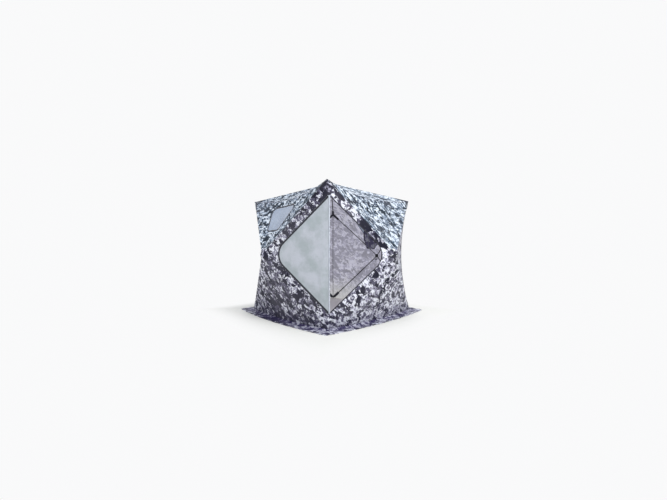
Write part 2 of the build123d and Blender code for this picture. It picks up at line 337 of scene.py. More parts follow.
@dataclass(frozen=True)
class Camouflage:
    """Printed cloth with crisp blots and flecks in four tones."""

    name: str
    pale: Colour = (0.90, 0.91, 0.97)
    light: Colour = (0.41, 0.40, 0.50)
    middle: Colour = (0.105, 0.098, 0.150)
    dark: Colour = (0.006, 0.006, 0.018)
    blots: float = 14.5
    clumps: float = 0.045
    draw_out: float = 1.45
    shift: Colour = (0.0, 0.0, 0.0)
    patches: tuple[Patch, ...] = ()
    # How far the print is mixed toward the fade tone: a faded back side on the lining, and painted shade on
    # the rolled storm flap.
    fade_and_shade: float = 0.0
    fade_and_shade_tone: Colour = (0.42, 0.40, 0.46)
    # Painted shade: near the ground the cloth is mixed toward this low tone, by this depth and up to this
    # height. It gets darker toward the bottom, where the lower panels face down. A pale low tone paints light
    # instead.
    low_shade_and_light_tone: Colour = (0.030, 0.022, 0.085)
    low_shade_and_light_depth: float = 0.24
    low_shade_and_light_height: float = 0.30
    # A colour multiplier. The top panels' cool tint paints sky light.
    tint: Colour = (1.0, 0.985, 1.0)
    # On the skirt: the width over which the painted shade by the wall's foot fades toward the outer edge.
    edge: float = 0.0
    through: float = 0.06
    through_tone: Colour = (0.36, 0.37, 0.44)
    # Painted light: the cloth's colour is also emitted at this strength, standing in for daylight through the
    # cloth.
    painted_daylight_glow: float = 0.0
    roughness: float = 0.62
    gloss: float = 0.18
    lean_waves: float = 4.4
    mottle_waves: float = 2.2
    mottle_share: float = 0.14
    pull_waves: Colour = (26.0, 2.6, 1.0)
    pull_depth: float = 0.012
    crumple_waves: float = 34.0
    crumple_depth: float = 0.0016
    threads: float = 1400.0
    thread_depth: float = 0.00012

    def tones(self, bench: Bench, place: Signal) -> Signal:
        """The printed pattern's colour.

        Args:
            bench: The material's bench.
            place: The piece's own coordinates.

        Returns:
            The colour.
        """
        lean = (bench.noise(place, self.lean_waves, detail=1.0, roughness=0.4) - 0.5) * self.clumps
        # Patches push the print darker, or paler. On the front wall this is painted shade.
        for patch in self.patches:
            inputs = {0: place, 1: patch.centre}
            gap = bench.node("ShaderNodeVectorMath", {"operation": "DISTANCE"}, inputs, output="Value")
            lean = (1.0 - gap.between(0.25 * patch.radius, patch.radius)) * patch.push + lean
        place = bench.drawn_out(place, Vector((1.0, 1.0, -1.0)), self.draw_out)
        place = bench.moved(place, self.shift)
        first = bench.noise(place, self.blots, detail=3.0, roughness=0.58, distortion=0.45)
        shifted = bench.moved(place, (3.7, 1.9, 5.3))
        second = bench.noise(shifted, self.blots * 1.2, detail=2.8, roughness=0.57, distortion=0.35)
        third_place = bench.moved(place, (8.1, 6.4, 2.2))
        third = bench.noise(third_place, self.blots * 0.9, detail=3.0, roughness=0.6, distortion=0.5)
        cloth = bench.mix((first + lean * 0.6).between(0.50, 0.515), self.pale, self.light)
        cloth = bench.mix((second + lean).between(0.508, 0.520), cloth, self.middle)
        fourth = bench.noise(shifted, self.blots * 2.2, detail=2.5, roughness=0.6, distortion=0.6)
        cloth = bench.mix((fourth - lean * 0.5).between(0.565, 0.59), cloth, self.pale)
        cloth = bench.mix((third + lean).between(0.548, 0.562), cloth, self.dark)
        return bench.mix((1.0 - fourth + lean * 0.5).between(0.600, 0.62), cloth, self.dark)

    def build(self) -> bpy.types.Material:
        """Builds the cloth's material.

        Returns:
            The material.
        """
        bench = Bench.material(self.name)
        place = bench.object_coordinates()
        cloth = self.tones(bench, place)
        # Faded print on the lining. On the rolled flap, whose fade tone is dark, this is painted shade.
        if self.fade_and_shade:
            cloth = bench.mix(self.fade_and_shade, cloth, self.fade_and_shade_tone)
        mottle = bench.noise(place, self.mottle_waves, detail=2.0)
        cloth = bench.mix(mottle.between(0.35, 0.7) * self.mottle_share, cloth, self.fade_and_shade_tone)
        # Painted shade near the ground: the cloth is mixed toward the low tone, most at the ground and not at
        # all above the low height, with a noisy edge.
        height = bench.axis(place, "Z") + (mottle - 0.5) * 0.25
        low = (1.0 - height.between(0.0, self.low_shade_and_light_height)) * self.low_shade_and_light_depth
        along = bench.cloth_coordinates()
        reach = bench.axis(along, "Y")
        # The painted shade fades toward the skirt's outer edge, away from the wall.
        if self.edge:
            low = low * (1.0 - reach.between(0.4 * self.edge, self.edge) * 0.75)
        cloth = bench.mix(low, cloth, self.low_shade_and_light_tone)
        cloth = bench.node("ShaderNodeVectorMath", {"operation": "MULTIPLY"}, {0: cloth, 1: self.tint})
        pulls = bench.noise(bench.stretched(along, self.pull_waves), 1.0, detail=2.0, roughness=0.5)
        pulls = pulls * (reach.between(0.12, 0.75) * 0.85 + 0.15)
        crumple = bench.noise(place, self.crumple_waves, detail=3.0, roughness=0.6)
        normal = bench.bump(pulls, self.pull_depth)
        normal = bench.bump(crumple, self.crumple_depth, normal)
        normal = bench.bump(weave(bench, along, self.threads), self.thread_depth, normal)
        # Painted light: the cloth glows with its own colour, in place of daylight through it.
        lit = {"Emission_Color": cloth, "Emission_Strength": self.painted_daylight_glow} if self.painted_daylight_glow else {}
        shader = bench.principled(
            Base_Color=cloth,
            Roughness=crumple.between(0.2, 0.9) * 0.14 + (self.roughness - 0.07),
            Specular_IOR_Level=self.gloss,
            Normal=normal,
            **lit,
        )
        if self.through:
            tone = (*self.through_tone, 1.0)
            behind = bench.node("ShaderNodeBsdfTranslucent", None, {"Color": tone, "Normal": normal})
            inputs = {0: self.through, 1: shader, 2: behind}
            shader = bench.node("ShaderNodeMixShader", None, inputs)
        return bench.finish(shader)


@dataclass(frozen=True)
class PlainCloth:
    """Coated cloth of one tone, with a weave and soft creases."""

    name: str
    tone: Colour
    mottle_tone: Colour
    roughness: float = 0.6
    threads: float = 1400.0
    thread_depth: float = 0.00014
    crease_waves: float = 11.0
    crease: float = 0.004
    cloud_waves: float = 4.2
    sheen: float = 0.1

    def build(self) -> bpy.types.Material:
        """Builds the cloth's material.

        Returns:
            The material.
        """
        bench = Bench.material(self.name)
        place = bench.object_coordinates()
        along = bench.cloth_coordinates()
        cloud = bench.noise(place, self.cloud_waves, detail=4.0, roughness=0.62)
        cloth = bench.mix(cloud.between(0.36, 0.66), self.tone, self.mottle_tone)
        creases = bench.noise(place, self.crease_waves, detail=3.0, roughness=0.55)
        normal = bench.bump(creases, self.crease)
        normal = bench.bump(weave(bench, along, self.threads), self.thread_depth, normal)
        shader = bench.principled(
            Base_Color=cloth,
            Roughness=creases.between(0.2, 0.8) * 0.12 + (self.roughness - 0.06),
            Sheen_Weight=self.sheen,
            Normal=normal,
        )
        return bench.finish(shader)


@dataclass(frozen=True)
class ClearFilm:
    """Flexible window film, slightly milky and waved."""

    name: str = "window film"
    tones: tuple[Colour, Colour] = ((0.27, 0.33, 0.47), (0.52, 0.60, 0.73))
    clear: float = 0.72
    roughness: float = 0.16
    coat: float = 0.4
    wave_depth: float = 0.004

    def build(self) -> bpy.types.Material:
        """Builds the film's material.

        Returns:
            The material.
        """
        bench = Bench.material(self.name)
        place = bench.object_coordinates()
        waves = bench.noise(place, 7.0, detail=1.0)
        cloud = bench.noise(place, 3.0, detail=2.0)
        shader = bench.principled(
            Base_Color=bench.mix(cloud, *self.tones),
            Roughness=waves * 0.12 + self.roughness,
            Alpha=self.clear,
            Coat_Weight=self.coat,
            Normal=bench.bump(waves, self.wave_depth),
        )
        return bench.finish(shader)


@dataclass(frozen=True)
class Moulded:
    """Moulded plastic or drawn fibreglass with a fine grain."""

    name: str
    tone: Colour
    worn_tone: Colour
    roughness: float
    grain: float = 900.0
    grain_depth: float = 0.0001
    stretch: Colour = (1.0, 1.0, 1.0)

    def build(self) -> bpy.types.Material:
        """Builds the material.

        Returns:
            The material.
        """
        bench = Bench.material(self.name)
        place = bench.stretched(bench.object_coordinates(), self.stretch)
        fine = bench.noise(place, self.grain, detail=2.0)
        broad = bench.noise(place, 22.0, detail=4.0, roughness=0.65)
        shader = bench.principled(
            Base_Color=bench.mix(broad.between(0.45, 0.75), self.tone, self.worn_tone),
            Roughness=broad.between(0.3, 0.7) * 0.16 + self.roughness,
            Normal=bench.bump(fine, self.grain_depth),
        )
        return bench.finish(shader)


@dataclass(frozen=True)
class ZipTape:
    """Woven tape, whose teeth run along the middle of its UV map's first axis."""

    name: str = "zip tape"
    tone: Colour = (0.018, 0.018, 0.028)
    tooth_tone: Colour = (0.06, 0.06, 0.075)
    teeth: float = 330.0
    tooth_depth: float = 0.0006

    def build(self) -> bpy.types.Material:
        """Builds the tape's material.

        Returns:
            The material.
        """
        bench = Bench.material(self.name)
        along = bench.cloth_coordinates()
        teeth = bench.stripes(along, "Y", self.teeth)
        cloud = bench.noise(along, 40.0, detail=2.0)
        shader = bench.principled(
            Base_Color=bench.mix(teeth * cloud, self.tone, self.tooth_tone),
            Roughness=cloud * 0.2 + 0.5,
            Normal=bench.bump(teeth, self.tooth_depth),
        )
        return bench.finish(shader)


@dataclass(frozen=True)
class StudioFloor:
    """The floor's finish, which passes into the backdrop away from the hut."""

    name: str = "studio floor"
    tone: Colour = (0.89, 0.86, 0.81)
    grain_tone: Colour = (0.87, 0.84, 0.79)
    near: float = 1.12
    far: float = 1.60

    def build(self) -> bpy.types.Material:
        """Builds the finish.

        Returns:
            The material.
        """
        bench = Bench.material(self.name)
        place = bench.object_coordinates()
        grain = bench.noise(place, 1.4, detail=3.0)
        tone = bench.mix(grain.between(0.3, 0.7) * 0.25, self.tone, self.grain_tone)
        solid = bench.principled(Base_Color=tone, Roughness=0.85)
        level, across = (bench.axis(place, name).math("ABSOLUTE") for name in "XY")
        off = level.math("MAXIMUM", across)
        return bench.finish(bench.backdrop(off.between(self.near, self.far), solid, "ShaderNodeEmission"))


# The four patches on the front wall are painted shade, darkening the wall that gets less light. The others
# darken the cloth at the near top corner and over the rolled flap, and make it paler at the near foot.
PRINT_AND_SHADE_PATCHES = (
    Patch((0.86, -0.92, 1.68), 0.26, 0.078),
    Patch((1.08, -0.42, 1.22), 0.22, 0.085),
    Patch((0.30, -1.02, 0.25), 0.80, 0.040),
    Patch((-0.2, -1.05, 0.05), 0.60, 0.044),
    Patch((-0.45, -0.95, 1.62), 0.62, 0.020),
    Patch((0.55, -1.02, 1.30), 0.42, 0.030),
    Patch((0.87, -0.90, 0.12), 0.16, -0.015),
)


def made(finish: Camouflage | PlainCloth | ZipTape | ClearFilm | Moulded) -> bpy.types.Material:
    """A field that holds the finish's material, built with the wardrobe."""
    return field(default_factory=finish.build)


@dataclass
class Wardrobe:
    """Every finish of the hut, built once."""

    camouflage: bpy.types.Material = made(Camouflage("snow camouflage", patches=PRINT_AND_SHADE_PATCHES))
    # Painted light: a cooler, tealer copy of the print for the top panels and roof slopes, standing in for
    # sky light on the faces that tilt up.
    upper: bpy.types.Material = made(
        Camouflage(
            "upper snow camouflage",
            light=(0.35, 0.39, 0.48),
            middle=(0.080, 0.110, 0.155),
            dark=(0.005, 0.014, 0.026),
            patches=PRINT_AND_SHADE_PATCHES,
            tint=(0.92, 0.97, 1.0),
        )
    )
    lining: bpy.types.Material = made(
        Camouflage(
            "camouflage lining",
            patches=(Patch((0.1, 0.7, 1.9), 1.1, -0.06),),
            blots=11.0,
            clumps=0.09,
            fade_and_shade=0.62,
            fade_and_shade_tone=(0.56, 0.56, 0.62),
            # Painted light: the lining's foot is mixed toward a pale tone, so it glows brighter there.
            low_shade_and_light_tone=(0.79, 0.81, 0.745),
            low_shade_and_light_depth=0.75,
            low_shade_and_light_height=0.50,
            through=0.5,
            # Painted light: the lining glows, standing in for daylight through the cloth.
            painted_daylight_glow=0.98,
        )
    )
    skirt: bpy.types.Material = made(
        Camouflage(
            "skirt camouflage",
            patches=PRINT_AND_SHADE_PATCHES,
            # Painted shade: the skirt is mixed deep toward dark navy next to the wall, and less toward its
            # outer edge.
            low_shade_and_light_tone=(0.034, 0.022, 0.110),
            low_shade_and_light_depth=0.48,
            low_shade_and_light_height=0.6,
            edge=0.155,
            through=0.0,
        )
    )
    # Painted shade: the roll sits in shade, so its print is mixed nearly all the way to a dark purple.
    rolled: bpy.types.Material = made(
        Camouflage("rolled camouflage", fade_and_shade=0.89, fade_and_shade_tone=(0.030, 0.026, 0.055), through=0.0)
    )
    door_print: bpy.types.Material = made(
        Camouflage("door camouflage", shift=(4.3, 2.7, 9.1), draw_out=1.1)
    )
    door_lining: bpy.types.Material = made(
        PlainCloth("door lining", (0.40, 0.44, 0.465), (0.545, 0.56, 0.62), crease=0.008)
    )
    welt: bpy.types.Material = made(
        PlainCloth("pale piping", (0.60, 0.63, 0.70), (0.54, 0.57, 0.65), crease=0.0004)
    )
    binding: bpy.types.Material = made(
        PlainCloth("black binding", (0.02, 0.02, 0.03), (0.035, 0.035, 0.05))
    )
    tape: bpy.types.Material = made(ZipTape())
    film: bpy.types.Material = made(ClearFilm())
    webbing: bpy.types.Material = made(
        PlainCloth("webbing", (0.02, 0.02, 0.025), (0.04, 0.04, 0.045), threads=500.0)
    )
    plastic: bpy.types.Material = made(
        Moulded("moulded plastic", (0.016, 0.016, 0.02), (0.03, 0.03, 0.036), 0.45)
    )
    fibreglass: bpy.types.Material = made(
        Moulded(
            "drawn fibreglass", (0.02, 0.02, 0.026), (0.045, 0.045, 0.055), 0.3, stretch=(1.0, 1.0, 0.1)
        )
    )


class Slot(Enum):
    """The kinds of finish."""

    CAMOUFLAGE = "camouflage_cloth"
    SKIRT = "skirt_cloth"
    DOOR = "door_cloth"
    WELT = "welt_cloth"
    ZIP = "zip_tape"
    FILM = "clear_film"
    WEBBING = "black_webbing"
    PLASTIC = "black_plastic"
    FIBREGLASS = "fibreglass_rod"


# The hut's shape ----------------------------------------------------------------------------------


class Side(Enum):
    """The hut's walls, as quarter turns of the front one."""

    FRONT = 0
    RIGHT = 1
    BACK = 2
    LEFT = 3

    @property
    def word(self) -> str:
        """The side's name in the model's nodes."""
        return self.name.lower()

    def turned(self, point: Vector) -> Vector:
        """A point of the front wall, turned to this one."""
        return Matrix.Rotation(math.radians(90.0 * self.value), 3, "Z") @ point


class Facet(Enum):
    """The four panels of a wall, and a slope of the roof."""

    TOP = "top"
    BOTTOM = "bottom"
    LEFT = "left"
    RIGHT = "right"
    ROOF = "roof"


def bulge(share: float) -> float:
    """A parabola along a seam: 0 at both ends and 1 in the middle."""
    return 4.0 * share * (1.0 - share)


def eased(value: float, low: float, high: float) -> float:
    """A smooth step from 0 at low to 1 at high."""
    share = min(1.0, max(0.0, (value - low) / (high - low)))
    return share * share * (3.0 - 2.0 * share)


@dataclass(frozen=True)
class Shape:
    """The hut's driving sizes and the places that follow from them."""

    half: float
    eaves: float
    wall_rise: float
    roof_rise: float
    draw: float
    swell: float = 0.09
    crown: float = 0.002
    hinge_along: float = 0.020
    flap_middle: float = 0.0065

    @classmethod
    def measured(cls) -> "Shape":
        """Reads the sizes from the model's nodes.

        Returns:
            The hut's shape.
        """
        crown = cls.crown
        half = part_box("front_wall_bottom")[1][0]
        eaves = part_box("front_wall_top")[1][2]
        return cls(
            half=half,
            eaves=eaves,
            wall_rise=-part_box("front_hub")[0][1] - crown - half,
            roof_rise=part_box("roof_hub")[1][2] - crown - eaves,
            draw=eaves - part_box("roof_slope_front")[0][2],
        )

    @property
    def middle(self) -> Vector:
        """The point half way up the hut's axis."""
        return Vector((0.0, 0.0, self.eaves / 2.0))

    @property
    def panel_length(self) -> float:
        """From the door corner to the wall's hub, level along the panel."""
        return math.hypot(self.half, self.wall_rise)

    @property
    def corner_turn(self) -> float:
        """The angle between the outward faces of the two panels beside the door corner."""
        return math.pi / 2.0 - 2.0 * math.atan2(self.wall_rise, self.half)

    @property
    def hinge_off(self) -> float:
        """How far off the right wall's cloth the flap's hinge stands."""
        turn = self.corner_turn
        return (2.0 * self.flap_middle + self.hinge_along * math.sin(turn)) / (1.0 + math.cos(turn))

    @property
    def fold(self) -> float:
        """How much nearer to the door corner a point of the flap lies when it is laid back."""
        turn = self.corner_turn
        return self.hinge_along * (1.0 + math.cos(turn)) + self.hinge_off * math.sin(turn)

    def hub(self, facet: Facet) -> Vector:
        """Where the panels round a hub would meet.

        Args:
            facet: The roof, or any panel of the front wall.

        Returns:
            The point.
        """
        if facet is Facet.ROOF:
            return Vector((0.0, 0.0, self.eaves + self.roof_rise))
        return Vector((0.0, -self.half - self.wall_rise, self.eaves / 2.0))

    def drawn(self, side: Side, facet: Facet) -> float:
        """How far the panel's outer seam draws in. The door corner's seam is straight.

        Args:
            side: The wall.
            facet: The panel.

        Returns:
            The depth at the seam's middle.
        """
        if (side, facet) in ((Side.FRONT, Facet.RIGHT), (Side.RIGHT, Facet.LEFT)):
            return 0.0
        return self.draw

    def seam(self, side: Side, facet: Facet, share: float) -> Vector:
        """A point on a panel's outer seam, on the front wall.

        Args:
            side: The wall.
            facet: The panel.
            share: How far along the seam, from 0 to 1.

        Returns:
            The point.
        """
        along = self.half * (2.0 * share - 1.0)
        swing = bulge(share)
        if facet is Facet.BOTTOM:
            return Vector((along, -self.half - self.swell * swing, 0.0))
        drawn = self.drawn(side, facet) * swing
        if facet in (Facet.TOP, Facet.ROOF):
            return Vector((along, drawn - self.half, self.eaves - drawn))
        hand = -1.0 if facet is Facet.LEFT else 1.0
        return Vector((hand * (self.half - drawn), drawn - self.half, self.eaves * (1.0 - share)))

    def place(self, side: Side, facet: Facet, share: float, reach: float) -> Vector:
        """A point of a panel.

        Args:
            side: The wall.
            facet: The panel.
            share: How far along its outer seam, from 0 to 1.
            reach: How far from its hub to that seam, from 0 to 1.

        Returns:
            The point on the cloth's outer face.
        """
        hub = self.hub(facet)
        return side.turned(hub + (self.seam(side, facet, share) - hub) * reach)

    def door_out(self, side: Side) -> Vector:
        """The outward direction of the panel beside the door corner."""
        return self.door_place(side, 0.0, 0.0, 1.0) - self.door_place(side, 0.0, 0.0)

    def door_way(self) -> Vector:
        """The level direction from the door corner along the panel with the doorway."""
        return self.door_place(Side.RIGHT, 1.0, 0.0) - self.door_place(Side.RIGHT, 0.0, 0.0)

    def door_place(self, side: Side, along: float, height: float, off: float = 0.0) -> Vector:
        """A point beside the door corner.

        Args:
            side: RIGHT for the wall with the doorway, FRONT for the flap laid back on the other wall.
            along: How far from the corner, level along the panel, with the flap shut.
            height: The height above the ground.
            off: How far off the cloth's outer face.

        Returns:
            The point.
        """
        length = self.panel_length
        corner = Vector((self.half, -self.half, height))
        if side is Side.RIGHT:
            way = Vector((self.wall_rise, self.half, 0.0)) / length
            out = Vector((self.half, -self.wall_rise, 0.0)) / length
        else:
            way = Vector((-self.half, -self.wall_rise, 0.0)) / length
            out = Vector((self.wall_rise, -self.half, 0.0)) / length
            along -= self.fold
        return corner + way * along + out * off


@dataclass(frozen=True)
class DoorLine:
    """The outline of the doorway and its flap, beside the door corner."""

    sill: float = 0.176
    head: float = 1.605
    reach: float = 0.8515
    nose: float = 0.198
    margin: float = 0.038

    @property
    def slope(self) -> float:
        """The slope of its two edges."""
        return (self.head - self.sill) / 2.0 / self.reach

    @property
    def middle(self) -> float:
        """The height of its nose."""
        return (self.head + self.sill) / 2.0

    def edge(self, height: float, growth: float = 0.0) -> float:
        """How far from the corner the outline lies at a height, grown by an amount all round.

        Args:
            height: The height above the ground.
            growth: The amount.

        Returns:
            The distance, level along the panel.
        """
        lean = math.hypot(1.0, self.slope) / self.slope
        tip = self.reach + growth * lean
        radius = self.nose + growth
        centre = tip - radius * lean
        off = abs(height - self.middle)
        straight = tip - off / self.slope
        touch = radius / math.hypot(1.0, self.slope)
        if off < touch:
            return centre + math.sqrt(radius * radius - off * off)
        return straight

    def ends(self, growth: float, start: float) -> tuple[float, float]:
        """The lowest and highest height of the outline, at a distance off the corner.

        Args:
            growth: How far the outline is grown all round.
            start: The distance.

        Returns:
            The two heights.
        """
        tip = self.reach + growth * math.hypot(1.0, self.slope) / self.slope
        spread = self.slope * (tip - start)
        return self.middle - spread, self.middle + spread

    def points(self, growth: float, start: float, count: int) -> list[Spot]:
        """Points along the two edges and round the nose, from the sill to the head.

        Args:
            growth: How far the outline is grown all round.
            start: How far off the corner it starts.
            count: Points on each edge, and round the nose.

        Returns:
            The points: along the panel, and up.
        """
        low = self.ends(growth, start)[0]
        lean = math.hypot(1.0, self.slope)
        radius = self.nose + growth
        touch = radius / lean
        below = [low + (self.middle - touch - low) * i / count for i in range(count)]
        turn = math.asin(1.0 / lean)
        centre = self.edge(self.middle, growth) - radius
        arc = [
            (centre + radius * math.cos(angle), self.middle + radius * math.sin(angle))
            for angle in (turn * (2.0 * i / count - 1.0) for i in range(count + 1))
        ]
        above = [2 * self.middle - height for height in below[::-1]]
        lower, upper = ([(self.edge(height, growth), height) for height in part] for part in (below, above))
        return lower + arc + upper


@dataclass(frozen=True)
class WindowLine:
    """The outline of a window, on the front wall and upright."""

    sill: float = 1.225
    head: float = 1.585
    head_width: float = 0.59
    sill_width: float = 0.27
    shift: float = -0.03
    radius: float = 0.065
    steps: int = 5

    def points(self, growth: float) -> list[Spot]:
        """The outline's points, once round, with its corners eased.

        Args:
            growth: How far outside the window's edge they lie.

        Returns:
            The points, level and up.
        """
        corners = [
            (self.shift + hand * width / 2.0, height)
            for hand, width, height in (
                (-1, self.sill_width, self.sill),
                (1, self.sill_width, self.sill),
                (1, self.head_width, self.head),
                (-1, self.head_width, self.head),
            )
        ]
        return rounded_outline(corners, self.radius, growth, self.steps)


def rounded_outline(corners: Sequence[Spot], radius: float, growth: float, steps: int) -> list[Spot]:
    """The points of a convex outline with eased corners.

    Args:
        corners: The corners, anticlockwise.
        radius: The corners' radius.
        growth: How far the outline grows all round.
        steps: Points round each corner, less one.

    Returns:
        The outline's points, anticlockwise.
    """
    points = []
    for i, here in enumerate(corners):
        corner = Vector(here)
        to_last = (Vector(corners[i - 1]) - corner).normalized()
        to_next = (Vector(corners[(i + 1) % len(corners)]) - corner).normalized()
        half_angle = to_last.angle(to_next) / 2.0
        centre = corner + (to_last + to_next).normalized() * (radius / math.sin(half_angle))
        start = math.atan2(to_last.x, -to_last.y)
        sweep = math.pi - 2.0 * half_angle
        for angle in (start + sweep * k / steps for k in range(steps + 1)):
            x, y = (radius + growth) * math.cos(angle), (radius + growth) * math.sin(angle)
            points.append((centre.x + x, centre.y + y))
    return points


def outline_edges(outline: Sequence[Spot]) -> Iterator[tuple[Spot, Spot]]:
    """The end of every edge of a closed outline, and its run, without edges that have no length.

    Args:
        outline: The outline's points.

    Returns:
        Each edge's end and run.
    """
    for i, here in enumerate(outline):
        before = outline[i - 1]
        run = (here[0] - before[0], here[1] - before[1])
        if math.hypot(*run) >= NO_LENGTH:
            yield here, run


# Meshes in the making -----------------------------------------------------------------------------


class Draft:
    """A mesh in the making: a bmesh grid laid over a surface, then trimmed, joined and finished."""

    def __init__(self) -> None:
        """Starts an empty mesh with a UV map in metres."""
        self.mesh = bmesh.new()
        self.uv = self.mesh.loops.layers.uv.new("cloth")

    @property
    def area(self) -> float:
        """The area of its faces."""
        return sum(face.calc_area() for face in self.mesh.faces)

    def lay(self, columns: int, rows: int, place: Place, width: float, length: float) -> "Draft":
        """Lays a grid over a surface.

        Args:
            columns: Faces across.
            rows: Faces along.
            place: The surface's point for shares across and along, each from 0 to 1.
            width: The cloth's width, which the UV map spans.
            length: The cloth's length, which the UV map spans.

        Returns:
            This draft.
        """
        made = bmesh.ops.create_grid(self.mesh, x_segments=columns, y_segments=rows, size=0.5)["verts"]
        for face in {face for vertex in made for face in vertex.link_faces}:
            face.smooth = True
            for loop in face.loops:
                spot = loop.vert.co
                loop[self.uv].uv = ((spot.x + 0.5) * width, (spot.y + 0.5) * length)
        for vertex in made:
            vertex.co = place(vertex.co.x + 0.5, vertex.co.y + 0.5)
        return self

    def keep_or_cut(self, planes: Iterable[tuple[Vector, Vector]], keep: bool) -> "Draft":
        """Trims the mesh by a convex outline.

        Args:
            planes: A point and an outward normal for each edge of the outline.
            keep: Whether the inside is kept, or cut out.

        Returns:
            This draft.
        """
        inside = list(self.mesh.faces)
        for point, normal in planes:
            edges = {edge for face in inside for edge in face.edges}
            vertices = {vertex for face in inside for vertex in face.verts}
            cut = bmesh.ops.bisect_plane(
                self.mesh, geom=[*inside, *edges, *vertices], dist=1e-6, plane_co=point, plane_no=normal
            )
            faces = [part for part in cut["geom"] if isinstance(part, bmesh.types.BMFace)]
            inside = [face for face in faces if (face.calc_center_median() - point).dot(normal) < 0.0]
        chosen = set(inside)
        doomed = [face for face in self.mesh.faces if (face in chosen) != keep]
        bmesh.ops.delete(self.mesh, geom=doomed, context="FACES")
        return self

    def joined(self, distance: float = 1e-5) -> "Draft":
        """Merges vertices that meet, which closes a rolled-up grid."""
        bmesh.ops.remove_doubles(self.mesh, verts=self.mesh.verts, dist=distance)
        return self

    def closed(self) -> "Draft":
        """Fills the open ends and turns every face outwards.

        Returns:
            The draft.
        """
        self.joined()
        bmesh.ops.holes_fill(self.mesh, edges=[edge for edge in self.mesh.edges if edge.is_boundary])
        bmesh.ops.recalc_face_normals(self.mesh, faces=self.mesh.faces)
        return self

    def facing_from(self, origin: Vector) -> "Draft":
        """Turns an open sheet to face away from a point.

        Args:
            origin: The point.

        Returns:
            This draft.
        """
        self.mesh.normal_update()
        lean = sum(
            face.normal.dot(face.calc_center_median() - origin) * face.calc_area() for face in self.mesh.faces
        )
        if lean < 0.0:
            bmesh.ops.reverse_faces(self.mesh, faces=self.mesh.faces)
        return self

    def finish(
        self,
        name: str,
        body: str,
        slot: Slot,
        materials: Sequence[bpy.types.Material],
        stands_for: str = "",
        thickness: float = 0.0,
        offset: float = -1.0,
    ) -> bpy.types.Object:
        """Makes the piece.

        Args:
            name: The piece's name.
            body: The body that it rides on.
            slot: The kind of its outer finish. Not used.
            materials: Its finishes: the outer one first, then the lining.
            stands_for: The node that it replaces.
            thickness: The cloth's thickness, which a Solidify modifier gives it.
            offset: Where the thickness goes: -1 is behind the faces, and 1 in front.

        Returns:
            The new object.
        """
        data = bpy.data.meshes.new(name)
        self.mesh.normal_update()
        self.mesh.to_mesh(data)
        self.mesh.free()
        for material in materials:
            data.materials.append(material)
        piece = bpy.data.objects.new(name, data)
        bpy.context.scene.collection.objects.link(piece)
        if thickness:
            solid = piece.modifiers.new("thickness", "SOLIDIFY")
            solid.thickness = thickness
            solid.offset = offset
            solid.use_even_offset = False
            solid.material_offset = len(materials) - 1
        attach(piece, body)
        if stands_for:
            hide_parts(stands_for)
        LOG.info("%s: %d faces on %s", name, len(data.polygons), body)
        return piece


def untapered(share: float) -> float:
    """A sweep's width that stays whole at every share of its path."""
    return 1.0


@dataclass
class Sweep:
    """A tape, cord or tube that follows a path. Its upward direction may change from point to point."""

    path: Sequence[Vector]
    section: Sequence[Spot]
    up: Vector | Callable[[int], Vector]
    loop: bool = False
    taper: Callable[[float], float] = untapered

    @property
    def length(self) -> float:
        """The path's length."""
        return sum((b - a).length for a, b in zip(self.path, self.path[1:]))

    def frame(self, index: int) -> tuple[Vector, Vector, Vector]:
        """The path's point, and the sideways and upward directions there.

        Args:
            index: The point's number.

        Returns:
            The point and the two directions.
        """
        last = len(self.path) - 1
        if self.loop:
            before, after = self.path[(index - 1) % last], self.path[(index + 1) % last]
        else:
            before, after = self.path[max(0, index - 1)], self.path[min(last, index + 1)]
        along = (after - before).normalized()
        up = self.up if isinstance(self.up, Vector) else self.up(index)
        side = along.cross(up).normalized()
        return self.path[index], side, side.cross(along)

    def place(self, share: float, around: float) -> Vector:
        """A point of the sweep's surface, for shares along the path and round the section.

        Args:
            share: How far along the path.
            around: How far round the section.

        Returns:
            The point.
        """
        index = round(share * (len(self.path) - 1))
        if self.loop:
            index %= len(self.path) - 1
        spot = self.section[round(around * (len(self.section) - 1))]
        point, side, up = self.frame(index)
        return point + side * (spot[0] * self.taper(share)) + up * spot[1]

    def into(self, draft: Draft) -> Draft:
        """Lays the sweep's surface into a draft."""
        girth = sum(math.dist(a, b) for a, b in zip(self.section, self.section[1:]))
        return draft.lay(len(self.path) - 1, len(self.section) - 1, self.place, self.length, girth)


def ring_section(width: float, height: float, sides: int = 8) -> list[Spot]:
    """A closed oval section, by its half width and half height."""
    turns = [2.0 * math.pi * i / sides for i in range(sides + 1)]
    return [(width * math.cos(turn), height * math.sin(turn)) for turn in turns]


def strap_section(a: Spot, b: Spot) -> list[Spot]:
    """A closed oblong section between two opposite corners."""
    return [a, (a[0], b[1]), b, (b[0], a[1]), a]


def shares(count: int) -> list[float]:
    """Even shares from 0 to 1, in so many steps."""
    return [i / count for i in range(count + 1)]


# Sub-assemblies -----------------------------------------------------------------------------------


